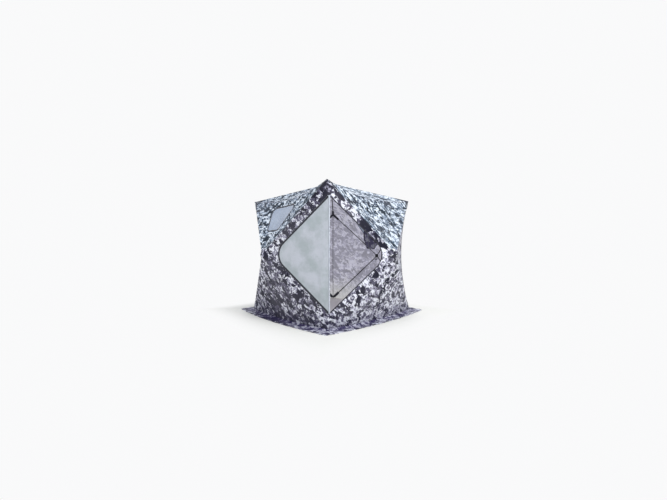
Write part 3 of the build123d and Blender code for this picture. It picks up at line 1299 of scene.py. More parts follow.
@dataclass
class Shell:
    """The sixteen wall panels and four roof slopes of camouflage cloth."""

    shape: Shape
    door: DoorLine
    window: WindowLine
    wardrobe: Wardrobe
    thickness: float = 0.0012
    columns: int = 96
    rows: int = 64
    start: float = 0.027
    pull: float = 0.0045
    pucker: float = 0.0035
    sag: float = 0.006
    doorway_growth: float = 0.014
    doorway_steps: int = 7
    seam_steps: int = 12
    strip_share: float = 0.3

    def wrinkle(self, side: Side, facet: Facet, share: float, reach: float) -> float:
        """How far the cloth stands off its taut shape, outwards.

        Args:
            side: The wall.
            facet: The panel.
            share: How far along its outer seam.
            reach: How far from its hub to that seam.

        Returns:
            The distance.
        """
        if facet is Facet.ROOF:
            seed = 11.0 + 5.0 * side.value
        else:
            seed = 3.0 * side.value + 17.0 * list(Facet).index(facet) + 1.0
        span = math.sin(math.pi * share)
        held = eased(share, 0.0, 0.10) * eased(1.0 - share, 0.0, 0.10)
        held *= eased(reach, 0.03, 0.15) * eased(1.0 - reach, 0.0, 0.045)
        streaks = noise.fractal(Vector((share * 21.0, reach * 1.7, seed)), 1.0, 2.0, 2)
        puckers = noise.fractal(Vector((share * 44.0, reach * 4.0, seed + 7.0)), 1.0, 2.0, 1)
        near_seam = eased(reach, 0.72, 1.0)
        broad = noise.noise(Vector((share * 3.1, reach * 2.6, seed + 3.0)))
        height = self.pull * streaks * (0.35 + 0.65 * abs(2.0 * share - 1.0))
        height += self.pucker * puckers * near_seam + self.sag * broad * span
        return held * height

    def off_cloth(self, side: Side, facet: Facet, share: float, reach: float, off: float = 0.0) -> Vector:
        """A point of a panel's outer face with its wrinkles, and a distance off it.

        Args:
            side: The wall.
            facet: The panel.
            share: How far along its outer seam.
            reach: How far from its hub to that seam.
            off: The distance off the cloth.

        Returns:
            The point.
        """
        centre = self.shape.middle if facet is not Facet.ROOF else Vector((0.0, 0.0, 0.0))
        base = self.shape.place(side, facet, share, reach)
        across = self.shape.place(side, facet, min(1.0, share + NEAR), max(reach, 0.05))
        across -= self.shape.place(side, facet, max(0.0, share - NEAR), max(reach, 0.05))
        along = self.shape.place(side, facet, share, reach + NEAR) - base
        normal = across.cross(along).normalized()
        if normal.dot(base - centre) < 0.0:
            normal.negate()
        return base + normal * (self.wrinkle(side, facet, share, reach) + off)

    def window_planes(self, side: Side, growth: float) -> list[tuple[Vector, Vector]]:
        """The upright planes round a window's outline.

        Args:
            side: The wall.
            growth: How far the outline is grown all round.

        Returns:
            A point and an outward normal for each.
        """
        planes = []
        for (across, height), (level, rise) in outline_edges(self.window.points(growth)):
            normal = side.turned(Vector((rise, 0.0, -level)).normalized())
            planes.append((side.turned(Vector((across, -1.0, height))), normal))
        return planes

    def doorway_planes(self, growth: float) -> list[tuple[Vector, Vector]]:
        """The planes round the doorway in the wall beside the door corner.

        Args:
            growth: How far the outline is grown all round.

        Returns:
            A point and an outward normal for each.
        """
        way = self.shape.door_way()
        planes = []
        for (along, height), (level, rise) in outline_edges(
            self.door.points(growth, self.door.margin, self.doorway_steps)
        ):
            normal = (way * rise + Vector((0.0, 0.0, -level))).normalized()
            planes.append((self.shape.door_place(Side.RIGHT, along, height), normal))
        return planes

    def panel(self, side: Side, facet: Facet) -> None:
        """Makes one panel.

        Args:
            side: The wall.
            facet: The panel.
        """
        seam = [self.shape.seam(side, facet, share) for share in shares(self.seam_steps)]
        width = sum((there - here).length for here, there in zip(seam, seam[1:]))
        length = (self.shape.seam(side, facet, 0.5) - self.shape.hub(facet)).length

        def place(share: float, along: float) -> Vector:
            """A point of the panel, for shares along its seam and out from the edge of its hub's hole."""
            return self.off_cloth(side, facet, share, self.start + (1.0 - self.start) * along)

        draft = Draft().lay(self.columns, self.rows, place, width, length)
        if facet is Facet.TOP:
            draft.keep_or_cut(self.window_planes(side, 0.0), keep=False)
        if (side, facet) == (Side.RIGHT, Facet.LEFT):
            draft.keep_or_cut(self.doorway_planes(self.doorway_growth), keep=False)
        area = draft.facing_from(self.shape.middle).area
        area < self.strip_share * width * length  # sewn from two strips, one over and one under the opening
        word = f"roof_slope_{side.word}" if facet is Facet.ROOF else f"{side.word}_wall_{facet.value}"
        # Top panels and roof slopes take the cooler copy of the print, which paints sky light.
        outer = self.wardrobe.upper if facet in (Facet.TOP, Facet.ROOF) else self.wardrobe.camouflage
        finishes = [outer, self.wardrobe.lining]
        piece = draft.finish(f"{word}_cloth", HUT, Slot.CAMOUFLAGE, finishes, word, self.thickness)

    def build(self) -> None:
        """Makes every panel."""
        for side in Side:
            for facet in (Facet.TOP, Facet.BOTTOM, Facet.LEFT, Facet.RIGHT, Facet.ROOF):
                self.panel(side, facet)


@dataclass
class Seams:
    """The bound seams at the eaves, the upright corners and the door corner."""

    shape: Shape
    wardrobe: Wardrobe
    bead: float = 0.0035
    upright_bead: float = 0.0052
    upright_share: float = 0.997
    ground_gap: float = 0.001
    steps: int = 40

    def bead_along(self, draft: Draft, path: list[Vector], radius: float) -> None:
        """Lays one bound seam.

        Args:
            draft: The mesh that it goes into.
            path: Its points.
            radius: Its radius.
        """

        def outward(index: int) -> Vector:
            """The direction from the hut's middle to a point of the path."""
            return path[index] - self.shape.middle

        Sweep(path, ring_section(radius, radius), outward).into(draft)

    def build(self) -> None:
        """Makes the seams at the eaves and at the upright corners."""
        eaves, upright, door_post = Draft(), Draft(), Draft()
        steps = shares(self.steps)
        for side in Side:
            path = [self.shape.place(side, Facet.TOP, share, 1.0) for share in steps]
            self.bead_along(eaves, path, self.bead)
            if side is not Side.FRONT:
                spans = [self.upright_share * share for share in steps]
                path = [self.shape.place(side, Facet.RIGHT, share, 1.0) for share in spans]
                self.bead_along(upright, path, self.upright_bead)
        foot = Vector((self.shape.half, -self.shape.half, 0.0))
        tall = self.shape.eaves - self.ground_gap
        path = [foot + Vector((0.0, 0.0, self.ground_gap + tall * (1.0 - share))) for share in steps]
        self.bead_along(door_post, path, self.bead)
        eaves.closed().finish("eaves_piping", HUT, Slot.CAMOUFLAGE, [self.wardrobe.skirt])
        # Black piping on the upright corners: a real bound seam, but dark partly as painted shade on the
        # seams' shadow side.
        upright.closed().finish("upright_piping_painted_shade", HUT, Slot.ZIP, [self.wardrobe.binding])
        door_post.closed().finish("door_post_seam", HUT, Slot.CAMOUFLAGE, [self.wardrobe.skirt])


@dataclass
class Windows:
    """The four windows: film, bound edges, and the one that is covered."""

    shell: Shell
    wardrobe: Wardrobe
    lap: float = 0.028
    film_growth: float = 0.004
    film_off: float = -0.0016
    film_thickness: float = 0.0006
    film_flat: Spot = (0.60, 0.40)
    binding_growth: float = 0.003
    binding_width: float = 0.022
    binding_off: float = 0.0003
    binding_height: float = 0.0023
    cover_off: float = 0.0024
    cover_thickness: float = 0.0011
    cover_flat: Spot = (0.65, 0.46)
    cover_binding_inset: float = 0.002
    cover_binding_width: float = 0.006
    cover_binding_off: float = 0.0030
    binding_step: float = 0.03
    tries: int = 8

    def patch(self, side: Side, growth: float, off: float) -> Draft:
        """A piece of the wall's top panel over the window, grown all round, at a distance off the cloth.

        Args:
            side: The wall.
            growth: How far outside the window it reaches.
            off: The distance off the cloth.

        Returns:
            The piece's mesh.
        """

        def place(share: float, along: float) -> Vector:
            """A point of the part of the panel that holds the window."""
            return self.shell.off_cloth(side, Facet.TOP, 0.14 + 0.72 * share, 0.30 + 0.70 * along, off)

        draft = Draft().lay(56, 44, place, 1.26, 0.68)
        draft.keep_or_cut(self.shell.window_planes(side, growth), keep=True)
        return draft.facing_from(self.shell.shape.middle)

    def onto_wall(self, side: Side, across: float, height: float, off: float) -> Vector:
        """The point of the wall's top panel over a place on its upright plane.

        Args:
            side: The wall.
            across: How far to the right of the wall's middle, from outside.
            height: The height.
            off: How far off the cloth.

        Returns:
            The point, found by a few steps of Newton's rule on the panel.
        """
        back = Matrix.Rotation(-math.radians(90.0 * side.value), 3, "Z")

        def upright(share: float, reach: float) -> Vector:
            """A point of the panel, turned back to the front wall."""
            return back @ self.shell.off_cloth(side, Facet.TOP, share, reach, off)

        share, reach = 0.5, 0.6
        for _ in range(self.tries):
            here = upright(share, reach)
            by_share = (upright(share + NEAR, reach) - here) / NEAR
            by_reach = (upright(share, reach + NEAR) - here) / NEAR
            miss_x, miss_z = across - here.x, height - here.z
            spread = by_share.x * by_reach.z - by_reach.x * by_share.z
            share += (by_reach.z * miss_x - by_reach.x * miss_z) / spread
            reach += (by_share.x * miss_z - by_share.z * miss_x) / spread
        return self.shell.off_cloth(side, Facet.TOP, share, reach, off)

    def border(self, side: Side, growth: float, width: float, off: float, name: str) -> None:
        """A bound edge round the window's outline.

        Args:
            side: The wall.
            growth: How far outside the window it runs.
            width: Its width.
            off: How far off the cloth.
            name: The piece's name.
        """
        path = []
        for (across, height), (level, rise) in outline_edges(self.shell.window.points(growth)):
            count = max(1, round(math.hypot(level, rise) / self.binding_step))
            for left in (1.0 - k / count for k in range(1, count + 1)):
                path.append(self.onto_wall(side, across - level * left, height - rise * left, off))
        path.append(path[0].copy())
        section = ring_section(width / 2.0, self.binding_height)
        draft = Sweep(path, section, side.turned(Vector((0.0, -0.93, 0.37))), loop=True).into(Draft())
        draft.closed().finish(name, HUT, Slot.ZIP, [self.wardrobe.binding])

    def build(self) -> None:
        """Makes the windows of the four walls, and the cover over one."""
        for side in Side:
            name = f"{side.word}_window"
            film = self.patch(side, self.film_growth, self.film_off)
            area = round(film.area, 3)
            thickness = self.film_thickness
            piece = film.finish(
                f"{name}_film", HUT, Slot.FILM, [self.wardrobe.film], "windows", thickness
            )
            if side is not Side.RIGHT:
                growth, width, off = self.binding_growth, self.binding_width, self.binding_off
                self.border(side, growth, width, off, f"{name}_binding")
        cover = self.patch(Side.RIGHT, self.lap, self.cover_off)
        area = round(cover.area, 3)
        # The cover takes the cooler copy of the print, which paints sky light.
        name, finishes = "right_window_closed_cover", [self.wardrobe.upper]
        piece = cover.finish(
            name, HUT, Slot.CAMOUFLAGE, finishes, "right_window_cover", self.cover_thickness
        )
        growth = self.lap - self.cover_binding_inset
        width, off = self.cover_binding_width, self.cover_binding_off
        self.border(Side.RIGHT, growth, width, off, "right_window_cover_binding")


@dataclass(frozen=True)
class TapeRun:
    """A zip tape's run round the door's outline.

    Its edges are given by how far the outline would have to grow to lie on them.
    """

    side: Side
    start: float
    path: float
    inner: float
    outer: float
    base: float
    height: float


@dataclass
class Doorway:
    """The doorway's zip, its flap laid back on the front wall, and the welt between them."""

    shape: Shape
    door: DoorLine
    wardrobe: Wardrobe
    gap: float = 0.005
    cloth: float = 0.003
    sheet: float = 0.0016
    tape_width: float = 0.026
    lap: float = 0.004
    billow: float = 0.010
    turn_up: float = 0.007
    start: float = 0.0232
    seat_gap: float = 0.0003
    eased_edge: float = 0.0008
    coil_half_width: float = 0.0034
    coil_half_height: float = 0.0022
    web_half: float = 0.001
    web_start: float = 0.0006
    strip_start: float = 0.003
    strip_low: float = 0.0002
    strip_high: float = 0.0011
    welt_steps: int = 90

    def flap_place(self, share: float, rise: float) -> Vector:
        """A point of the flap's visible face, for shares across and upwards.

        Args:
            share: How far across, from the hinge.
            rise: How far up.

        Returns:
            The point.
        """
        start = self.start
        low, high = self.door.ends(self.lap, start)
        height = low + (high - low) * rise
        far = max(self.door.edge(height, self.lap), start + 0.0004)
        along = start + (far - start) * share
        inner = self.door.edge(height, self.lap - self.tape_width) - along
        loose = eased(inner, 0.0, 0.16) * eased(along - start, 0.0, 0.10)
        ease = noise.fractal(Vector((along * 3.2, height * 2.2, 4.0)), 1.0, 2.0, 2)
        crease = 0.055 + 0.085 * math.exp(-(((height - 0.62) / 0.30) ** 2))
        turned = eased(crease + start - along, 0.0, 0.05) * eased(height, 0.28, 0.40)
        turned *= 1.0 - eased(height, 0.75, 1.15)
        off = self.gap + self.cloth + loose * self.billow * (0.55 + 0.6 * ease)
        off += self.turn_up * turned * eased(along - self.door.margin, 0.004, 0.05)
        return self.shape.door_place(Side.FRONT, along, height, off)

    def flap(self) -> None:
        """The flap, lined with pale cloth and printed on its other side."""
        low, high = self.door.ends(self.lap, self.start)
        width, length = self.door.edge(self.door.middle, self.lap) - self.start, high - low
        draft = Draft().lay(48, 96, self.flap_place, width, length).joined(2e-4)
        area = round(draft.facing_from(self.shape.middle).area, 3)
        finishes = [self.wardrobe.door_lining, self.wardrobe.door_print]
        piece = draft.finish("laid_back_flap", DOOR, Slot.DOOR, finishes, "door_flap", self.sheet)

    def zip_tape(self, run: TapeRun, name: str, body: str, stands_for: str) -> None:
        """A tape round the door's outline, with eased edges.

        Args:
            run: Where it runs.
            name: The piece's name.
            body: The body that it rides on.
            stands_for: The node that it replaces.
        """
        line = self.door.points(run.path, run.start, count=26)
        path = [self.shape.door_place(run.side, along, rise) for along, rise in line]
        hand = 1.0 if run.side is Side.RIGHT else -1.0
        left, right = sorted((hand * (run.inner - run.path), hand * (run.outer - run.path)))
        low, high = run.base, run.base + run.height
        ease = min(run.height / 2.0, self.eased_edge)
        section = [
            (left, low + ease),
            (left + ease, low),
            (right - ease, low),
            (right, low + ease),
            (right, high - ease),
            (right - ease, high),
            (left + ease, high),
            (left, high - ease),
            (left, low + ease),
        ]
        tape = Sweep(path, section, self.shape.door_out(run.side)).into(Draft()).closed()
        end = self.shape.door_place(run.side, run.start, 0.0)
        to_corner = (self.shape.door_place(run.side, run.start - 0.1, 0.0) - end).normalized()
        tape.keep_or_cut([(end, to_corner)], keep=True).closed()
        tape.finish(name, body, Slot.ZIP, [self.wardrobe.tape], stands_for)

    def coil(self, side: Side, start: float, growth: float, off: float, body: str) -> None:
        """The zip's coil along an edge.

        Args:
            side: The wall that it lies on.
            start: How far from the corner it starts and ends.
            growth: How far outside the door's outline it runs.
            off: How far off the cloth it lies.
            body: The body that it rides on.
        """
        line = self.door.points(growth, start, count=60)
        path = [self.shape.door_place(side, along, rise, off) for along, rise in line]
        section = ring_section(self.coil_half_width, self.coil_half_height)
        draft = Sweep(path, section, self.shape.door_out(side)).into(Draft()).closed()
        owner = "flap" if body == DOOR else "doorway"
        draft.finish(f"{owner}_zip_coil", body, Slot.ZIP, [self.wardrobe.tape])

    def welt(self) -> None:
        """The piping about which the flap turns, and the web that carries it."""
        low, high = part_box("door_corner_welt")
        off, along = self.shape.hinge_off, self.shape.hinge_along
        radius = off - self.gap - self.cloth - self.seat_gap
        count = self.welt_steps
        foot = self.shape.door_place(Side.RIGHT, along, 0.0, off)
        path = [foot + Vector((0.0, 0.0, low.z + (high.z - low.z) * i / count)) for i in range(count + 1)]

        def place(share: float, around: float) -> Vector:
            """A point of the piping.

            Args:
                share: How far up, from 0 to 1.
                around: How far round, from 0 to 1.

            Returns:
                The point.
            """
            index = round(share * count)
            turn = 2.0 * math.pi * around
            fat = radius * (0.93 + 0.02 * math.sin(index * 0.9) * math.sin(index * 0.37))
            fat *= eased(min(index, count - index), -1.0, 2.0)
            return path[index] + Vector((math.cos(turn), math.sin(turn), 0.0)) * fat

        draft = Draft().lay(count, 12, place, high.z - low.z, 2.0 * math.pi * radius)
        ends = [self.shape.door_place(Side.RIGHT, 0.0, point.z) for point in (path[1], path[-2])]
        low_corner = (along - self.web_half, self.web_start)
        web = strap_section(low_corner, (along + self.web_half, off - radius * 0.7))
        Sweep(ends, web, self.shape.door_out(Side.RIGHT)).into(draft)
        draft.closed().finish(
            "door_corner_piping", HUT, Slot.WELT, [self.wardrobe.welt], "door_corner_welt"
        )

    def post_strip(self) -> None:
        """The pale strip sewn over the cloth between the door corner and the doorway."""
        low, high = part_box("door_corner_welt")
        heights = [low.z + (high.z - low.z) * share for share in shares(40)]
        path = [self.shape.door_place(Side.RIGHT, 0.0, height) for height in heights]
        far = (self.door.margin - self.seat_gap, self.strip_high)
        section = strap_section((self.strip_start, self.strip_low), far)
        draft = Sweep(path, section, self.shape.door_out(Side.RIGHT)).into(Draft()).closed()
        draft.finish("door_post_strip", HUT, Slot.WELT, [self.wardrobe.welt])

    def build(self) -> None:
        """Makes the doorway's pieces."""
        self.welt()
        self.post_strip()
        self.flap()
        run = TapeRun(
            side=Side.FRONT,
            start=self.start + 0.0005,
            path=self.lap,
            inner=self.lap - self.tape_width,
            outer=self.lap,
            base=0.0052,
            height=0.0030,
        )
        self.zip_tape(run, "flap_zip_border", DOOR, "door_flap_zip_tape")
        margin = self.door.margin
        run = TapeRun(
            side=Side.RIGHT, start=margin, path=0.0, inner=0.0, outer=0.0145, base=-0.0026, height=0.0020
        )
        self.zip_tape(run, "doorway_zip_border", HUT, "doorway_zip_tape")
        self.coil(Side.RIGHT, margin, 0.003, -0.0004, HUT)
        self.coil(Side.FRONT, self.start + 0.003, -0.001, 0.0080, DOOR)


@dataclass
class StormFlap:
    """The storm flap, rolled up and tied inside the upper edge of the doorway."""

    shape: Shape
    door: DoorLine
    wardrobe: Wardrobe
    hub_gap: float = 0.250
    length: float = 0.215
    bottom_rise: float = 0.058
    thickness: float = 0.034
    hold: float = 0.022
    cloth: float = 0.0012
    turns: float = 2.6
    flat_length: float = 0.40
    tie_spots: Spot = (0.28, 0.68)
    tie_half_width: float = 0.009
    tie_half_thickness: float = 0.0008
    tie_slack: float = 1.04

    def place(self, share: float, along: float) -> Vector:
        """A point of the rolled cloth, for shares along the roll and along the cloth wound up in it.

        Args:
            share: How far along the roll.
            along: How far along the cloth, from its outer end.

        Returns:
            The point.
        """
        start = self.shape.panel_length - self.hub_gap - self.length
        spot = start + 0.003 + (self.length - 0.006) * share
        top = self.door.head + self.hold - self.door.slope * spot - 0.003
        bottom = self.shape.eaves / 2.0 + self.bottom_rise + 0.002
        bottom += 0.105 * (1.0 - eased(share, 0.0, 0.30)) ** 2
        bottom += (top - bottom) * 0.82 * eased(share, 0.66, 1.0)
        pinch = 1.0 - 0.30 * sum(math.exp(-(((share - tie) / 0.045) ** 2)) for tie in self.tie_spots)
        centre, half_height = (top + bottom) / 2.0, (top - bottom) / 2.0
        shrink = 1.0 - 0.62 * along
        turn = 2.0 * math.pi * self.turns * along + 0.6
        lump = noise.noise(Vector((share * 5.0, math.cos(turn) * 1.4, math.sin(turn) * 1.4)))
        lump = min(1.0 + 0.05 * lump, 1.0)
        deep = (self.thickness / 2.0 - 0.0015) * shrink * pinch * lump
        rise = half_height * (0.25 + 0.75 * shrink) * (0.8 + 0.2 * pinch) * lump
        off = -0.0033 - self.thickness / 2.0 + deep * math.sin(turn)
        return self.shape.door_place(Side.RIGHT, spot, centre + rise * math.cos(turn), off)

    def tie(self, share: float, name: str) -> None:
        """A webbing tie round the roll.

        Args:
            share: How far along the roll.
            name: The piece's name.
        """
        count = 28
        ring = [self.place(share, i / count / self.turns) for i in range(count + 1)]
        middle = sum(ring[:-1], Vector()) / count
        path = [middle + (point - middle) * self.tie_slack for point in ring]
        path[-1] = path[0].copy()
        corner = (self.tie_half_thickness, -self.tie_half_width)
        section = strap_section(corner, (-corner[0], -corner[1]))
        draft = Sweep(path, section, self.shape.door_way().normalized(), loop=True).into(Draft())
        draft.closed().finish(name, HUT, Slot.WEBBING, [self.wardrobe.webbing])

    def build(self) -> None:
        """Makes the roll and its ties."""
        draft = Draft().lay(40, 110, self.place, self.length, self.flat_length)
        flat = (self.length, round(draft.area / self.length, 3))
        # The roll's cloth is painted dark, as shade.
        name, finishes = "rolled_flap_bundle", [self.wardrobe.rolled]
        piece = draft.finish(
            name, HUT, Slot.CAMOUFLAGE, finishes, "rolled_storm_flap", self.cloth, offset=0.0
        )
        for share, word in zip(self.tie_spots, ("inner", "outer")):
            self.tie(share, f"roll_tie_{word}")


@dataclass
class Skirts:
    """The snow skirt round the hut, laid out on the ground."""

    shape: Shape
    wardrobe: Wardrobe
    width: float = 0.155
    thickness: float = 0.0016
    run_up: float = 0.020
    fold: float = 0.010
    flat: Spot = (2.11, 0.155)
    columns: int = 110
    rows: int = 14

    def place(self, side: Side, share: float, out: float) -> Vector:
        """A point of the skirt's upper face, for shares along the wall and outwards.

        Args:
            side: The wall.
            share: How far along the hem.
            out: How far from the hem to the outer edge.

        Returns:
            The point.
        """
        rise = self.run_up * (1.0 - eased(out, 0.0, 0.42)) ** 2
        clearance = 0.0018 + 0.42 * rise
        hem = self.shape.seam(side, Facet.BOTTOM, share)
        corner_ease = 1.0 - 0.015 * (1.0 - eased(min(share, 1.0 - share), 0.0, 0.03)) ** 2
        reach = clearance + (self.width * corner_ease - clearance) * out
        x = hem.x * (1.0 + reach / self.shape.half)
        y = hem.y - reach
        seed = 31.0 + side.value * 9.0
        folds = noise.fractal(Vector((share * 26.0, out * 0.8, seed)), 1.0, 2.0, 2)
        held = eased(share, 0.0, 0.03) * eased(1.0 - share, 0.0, 0.03)
        ripple = self.fold * max(0.0, folds + 0.15) * eased(out, 0.05, 0.5) * held
        edge = noise.noise(Vector((share * 9.0, 2.0, seed))) * 0.006 * out * held
        height = self.thickness + 0.0006 + ripple + rise
        return side.turned(Vector((x, y - min(edge, 0.0), height)))

    def build(self) -> None:
        """Makes the four strips."""
        for side in Side:
            draft = Draft().lay(self.columns, self.rows, partial(self.place, side), 2.0, self.width)
            bmesh.ops.recalc_face_normals(draft.mesh, faces=draft.mesh.faces)
            area = round(draft.facing_from(Vector((0.0, 0.0, -3.0))).area, 3)
            name, finishes = f"{side.word}_snow_skirt", [self.wardrobe.skirt]
            piece = draft.finish(f"{name}_cloth", HUT, Slot.SKIRT, finishes, name, self.thickness)


@dataclass
class HubCovers:
    """The cloth patch sewn over each hub's cap, and its pull loop."""

    shape: Shape
    wardrobe: Wardrobe
    reach: float = 0.082
    cap_crown: float = 0.0022
    cap_crown_radius: float = 0.022
    cap_radius: float = 0.058
    cap_rim: float = 0.0037
    lie: float = 0.0010
    lift: float = 0.004
    squash: float = 0.38
    thickness: float = 0.0008
    loop_radius: float = 0.0155
    loop_rise: float = 0.0025
    loop_lean: float = 0.0012
    loop_half_width: float = 0.0095
    loop_half_thickness: float = 0.0009

    def spot(self, side: Side | None, a: float, b: float, up: float) -> Vector:
        """A point over a hub: across, upwards on the wall, and out of it.

        Args:
            side: The wall, or None for the roof.
            a: How far across.
            b: How far up.
            up: How far out.

        Returns:
            The point.
        """
        if side is None:
            return self.shape.hub(Facet.ROOF) + Vector((a, b, up))
        return side.turned(self.shape.hub(Facet.TOP) + Vector((a, -up, b)))

    def level(self, side: Side | None, a: float, b: float) -> float:
        """How far out the patch lies over the cap and the cloth round it.

        Args:
            side: The wall, or None for the roof.
            a: How far across from the hub.
            b: How far up from the hub.

        Returns:
            The distance out from where the panels would meet.
        """
        rise = self.shape.roof_rise if side is None else self.shape.wall_rise
        tall = self.shape.half if side is None else self.shape.eaves / 2.0
        cloth = -max(abs(a) * rise / self.shape.half, abs(b) * rise / tall)
        radius = math.hypot(a, b)
        fall = rise / math.hypot(self.shape.half, tall) * self.cap_radius
        slope = (self.cap_crown - self.cap_rim + fall) / (self.cap_radius - self.cap_crown_radius)
        cap = self.cap_crown - max(0.0, radius - self.cap_crown_radius) * slope
        cover = cap + self.lie if radius < self.cap_radius + 0.002 else -1.0
        skirt = cloth + self.lie + (1.0 - eased(radius, self.cap_radius, self.reach)) * self.lift
        return max(cover, skirt)

    def patch(self, side: Side | None) -> None:
        """One patch, cut square with rounded corners.

        Args:
            side: The wall, or None for the roof.
        """

        def place(share: float, along: float) -> Vector:
            """A point of the patch.

            Args:
                share: How far across, from 0 to 1.
                along: How far up, from 0 to 1.

            Returns:
                The point.
            """
            a, b = 2.0 * share - 1.0, 2.0 * along - 1.0
            squash_a = a * math.sqrt(1.0 - self.squash * b * b)
            squash_b = b * math.sqrt(1.0 - self.squash * a * a)
            a, b = squash_a * self.reach, squash_b * self.reach
            return self.spot(side, a, b, self.level(side, a, b))

        across = 2.0 * self.reach
        draft = Draft().lay(28, 28, place, across, across)
        inner = [vertex for vertex in draft.mesh.verts if not vertex.is_boundary]
        every_axis = {"use_axis_x": True, "use_axis_y": True, "use_axis_z": True}
        for _ in range(2):
            bmesh.ops.smooth_vert(draft.mesh, verts=inner, factor=0.3, **every_axis)
        area = round(draft.facing_from(self.shape.middle).area, 4)
        hub = "roof_hub" if side is None else f"{side.word}_hub"
        name, finishes = f"{hub}_patch", [self.wardrobe.skirt]
        piece = draft.finish(name, HUT, Slot.CAMOUFLAGE, finishes, "", self.thickness, offset=1.0)

    def build(self) -> None:
        """Makes the patches and the loops."""
        loops = Draft()
        corner = (self.loop_half_thickness, -self.loop_half_width)
        section = strap_section(corner, (-corner[0], -corner[1]))
        for side in (*Side, None):
            self.patch(side)
            path = []
            for turn in (math.pi * i / 22 for i in range(23)):
                out = self.loop_rise + self.loop_radius * math.sin(turn)
                lean = self.loop_lean * math.sin(turn * 2.0)
                path.append(self.spot(side, self.loop_radius * math.cos(turn) + lean, 0.0, out))
            across = self.spot(side, 0.0, 1.0, 0.0) - self.spot(side, 0.0, 0.0, 0.0)
            Sweep(path, section, across).into(loops)
        finishes = [self.wardrobe.webbing]
        loops.closed().finish("webbing_pull_loops", HUT, Slot.WEBBING, finishes, "hub_pull_loops")


@dataclass
class RodTrims:
    """The black cloth pockets that hold the rods' ends, and the tapes sewn behind the rods."""

    shape: Shape
    wardrobe: Wardrobe
    rod_depth: float = 0.0125
    tape_depth: float = 0.0066
    tape_width: float = 0.021
    tape_thickness: float = 0.0006
    tape_start: float = 0.080
    tape_end: float = 0.170
    pocket_start: float = 0.008
    pocket_length: float = 0.165
    half_width: float = 0.030
    half_height: float = 0.0088
    widening: float = 0.85

    def drawn_in(self, point: Vector, depth: float) -> Vector:
        """The same point of a smaller shell, whose panels lie that much deeper.

        Args:
            point: The point.
            depth: How much deeper.

        Returns:
            The point of the smaller shell.
        """
        rise, tall = self.shape.wall_rise, self.shape.eaves / 2.0
        reach = (self.shape.half + rise) * tall / math.hypot(rise, tall)
        return self.shape.middle + (point - self.shape.middle) * (1.0 - depth / reach)

    def ridges(self) -> list[tuple[Vector, Vector, Vector]]:
        """Finds every ridge, where a rod's pocket runs.

        Returns:
            The hub, the corner and the outward direction of each.
        """
        found = []
        ends = [(facet, end) for facet in (Facet.TOP, Facet.BOTTOM) for end in (0.0, 1.0)]
        for side in Side:
            for facet, end in (*ends, (Facet.ROOF, 0.0)):
                hub = side.turned(self.shape.hub(facet))
                here = self.shape.place(side, facet, end, 1.0)
                along = (here - hub).normalized()
                others = [self.shape.place(side, facet, 1.0 - end, 1.0)]
                if facet is Facet.ROOF:
                    others.append(Matrix.Rotation(-math.pi / 2.0, 3, "Z") @ here)
                else:
                    flip = Facet.BOTTOM if facet is Facet.TOP else Facet.TOP
                    others.append(self.shape.place(side, flip, end, 1.0))
                inward = Vector()
                for run in (other - here for other in others):
                    inward += (run - along * run.dot(along)).normalized()
                found.append((hub, here, -inward.normalized()))
        return found

    def narrowing(self, share: float) -> float:
        """A pocket's width at a share of its length, against its full width."""
        reach = self.pocket_start + self.pocket_length * share
        return min(1.0, self.widening * reach / self.half_width)

    def build(self) -> None:
        """Makes the pockets, and the tapes, each as one piece."""
        pockets, tapes = Draft(), Draft()
        round_section = ring_section(self.half_width, self.half_height, 12)
        half = self.tape_width / 2.0
        flat_section = strap_section((-half, 0.0), (half, -self.tape_thickness))
        for hub, corner, out in self.ridges():
            start = self.drawn_in(corner, self.rod_depth)
            way = (self.drawn_in(hub, self.rod_depth) - start).normalized()
            path = [start + way * (self.pocket_start + self.pocket_length * i / 10) for i in range(11)]
            Sweep(path, round_section, out, taper=self.narrowing).into(pockets)
            start, end = self.drawn_in(hub, self.tape_depth), self.drawn_in(corner, self.tape_depth)
            way, length = (end - start).normalized(), (end - start).length - self.tape_end
            path = [start + way * (self.tape_start + (length - self.tape_start) * i / 24) for i in range(25)]
            Sweep(path, flat_section, out).into(tapes)
        for draft, name in ((pockets, "corner_rod_pockets"), (tapes, "ridge_tapes")):
            draft.closed().finish(name, HUT, Slot.WEBBING, [self.wardrobe.binding])


@dataclass(frozen=True)
class Lamp:
    """A soft square lamp, aimed at the hut."""

    name: str
    place: Colour
    power: float
    tint: Colour
    size: float = 4.0
    aim: Colour = (0.0, 0.0, 1.0)

    def build(self) -> None:
        """Hangs the lamp."""
        light = bpy.data.lights.new(self.name, "AREA")
        light.shape = "SQUARE"
        light.size = self.size
        light.energy = self.power
        light.color = self.tint
        lamp = bpy.data.objects.new(self.name, light)
        place = Vector(self.place)
        lamp.location = place
        lamp.rotation_euler = (Vector(self.aim) - place).to_track_quat("-Z", "Y").to_euler()
        bpy.context.scene.collection.objects.link(lamp)


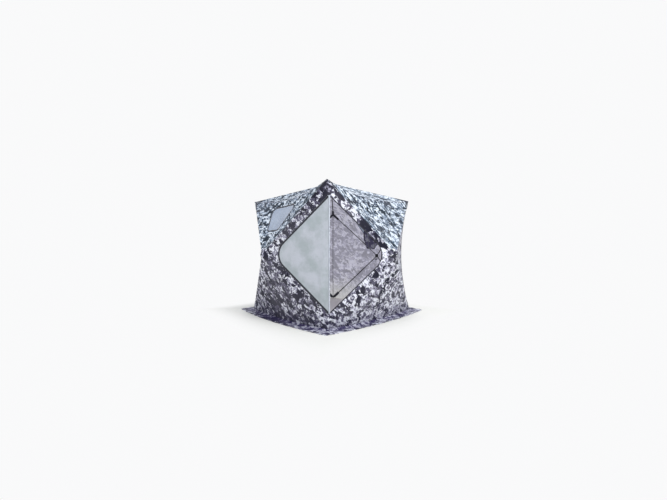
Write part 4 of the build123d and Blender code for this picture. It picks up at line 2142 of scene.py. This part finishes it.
@dataclass
class Staging:
    """The floor, the surround, the lamps and the camera."""

    floor_radius: float = 16.0
    surround: Colour = (0.87, 0.935, 1.0)
    surround_strength: float = 0.58
    lens: float = 14.39
    eye: Colour = (3.2285, -3.0012, 0.849)
    look_up: float = 1.65
    look_round: float = 46.54
    lamps: tuple[Lamp, ...] = (
        Lamp("key", (5.0, -1.2, 6.0), 350.0, (0.95, 0.985, 1.0)),
        Lamp("fill", (-2.5, -6.0, 4.0), 60.0, (0.95, 0.97, 1.0)),
        Lamp("back", (-4.5, 4.5, 5.5), 170.0, (0.97, 0.98, 1.0)),
    )

    def floor(self) -> None:
        """A pale floor."""
        mesh = bmesh.new()
        bmesh.ops.create_circle(mesh, cap_ends=True, segments=96, radius=self.floor_radius)
        data = bpy.data.meshes.new("floor")
        mesh.to_mesh(data)
        mesh.free()
        floor = bpy.data.objects.new("floor", data)
        bpy.context.scene.collection.objects.link(floor)
        data.materials.append(StudioFloor().build())

    def world(self) -> None:
        """An even, slightly cool surround."""
        world = bpy.data.worlds.new("surround")
        bpy.context.scene.world = world
        bench = Bench(world)
        inputs = {"Color": (*self.surround, 1.0), "Strength": self.surround_strength}
        light = bench.node("ShaderNodeBackground", None, inputs)
        bench.finish(bench.backdrop(1.0, light, "ShaderNodeBackground"))

    def camera(self) -> None:
        """The camera, at eye level before the door corner."""
        data = bpy.data.cameras.new("camera")
        data.lens = self.lens
        data.sensor_width = 36.0
        data.clip_start = 0.05
        data.clip_end = 100.0
        camera = bpy.data.objects.new("camera", data)
        camera.location = self.eye
        rise, turn = math.radians(self.look_up), math.radians(self.look_round)
        level = math.cos(rise)
        way = Vector((-math.sin(turn) * level, math.cos(turn) * level, math.sin(rise)))
        camera.rotation_euler = way.to_track_quat("-Z", "Y").to_euler()
        bpy.context.scene.collection.objects.link(camera)
        bpy.context.scene.camera = camera

    def build(self) -> None:
        """Sets up the studio."""
        self.camera()
        self.floor()
        self.world()
        for lamp in self.lamps:
            lamp.build()


def dress_frame(wardrobe: Wardrobe) -> None:
    """Gives the rods, hubs and fittings that stay their finishes.

    Args:
        wardrobe: The finishes.
    """
    finishes = {
        "rods": (wardrobe.fibreglass, Slot.FIBREGLASS),
        "hub": (wardrobe.plastic, Slot.PLASTIC),
        "corner_fittings": (wardrobe.plastic, Slot.PLASTIC),
    }
    for name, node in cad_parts.items():
        for ending, (material, slot) in finishes.items():
            if name.endswith(ending):
                node.data.materials.clear()
                node.data.materials.append(material)
                LOG.info("%s: finish %s", name, material.name)


def main() -> None:
    """Builds every piece in order."""
    logging.basicConfig(level=logging.INFO, format="%(name)s: %(message)s")
    bpy.context.scene.view_settings.view_transform = "Standard"
    wardrobe = Wardrobe()
    Staging().build()
    shape = Shape.measured()
    LOG.info("shape: %s", shape)
    door = DoorLine()
    shell = Shell(shape, door, WindowLine(), wardrobe)
    for part in (
        shell,
        Seams(shape, wardrobe),
        Windows(shell, wardrobe),
        Doorway(shape, door, wardrobe),
        StormFlap(shape, door, wardrobe),
        Skirts(shape, wardrobe),
        HubCovers(shape, wardrobe),
        RodTrims(shape, wardrobe),
    ):
        part.build()
    dress_frame(wardrobe)


if __name__ == "__main__":
    main()
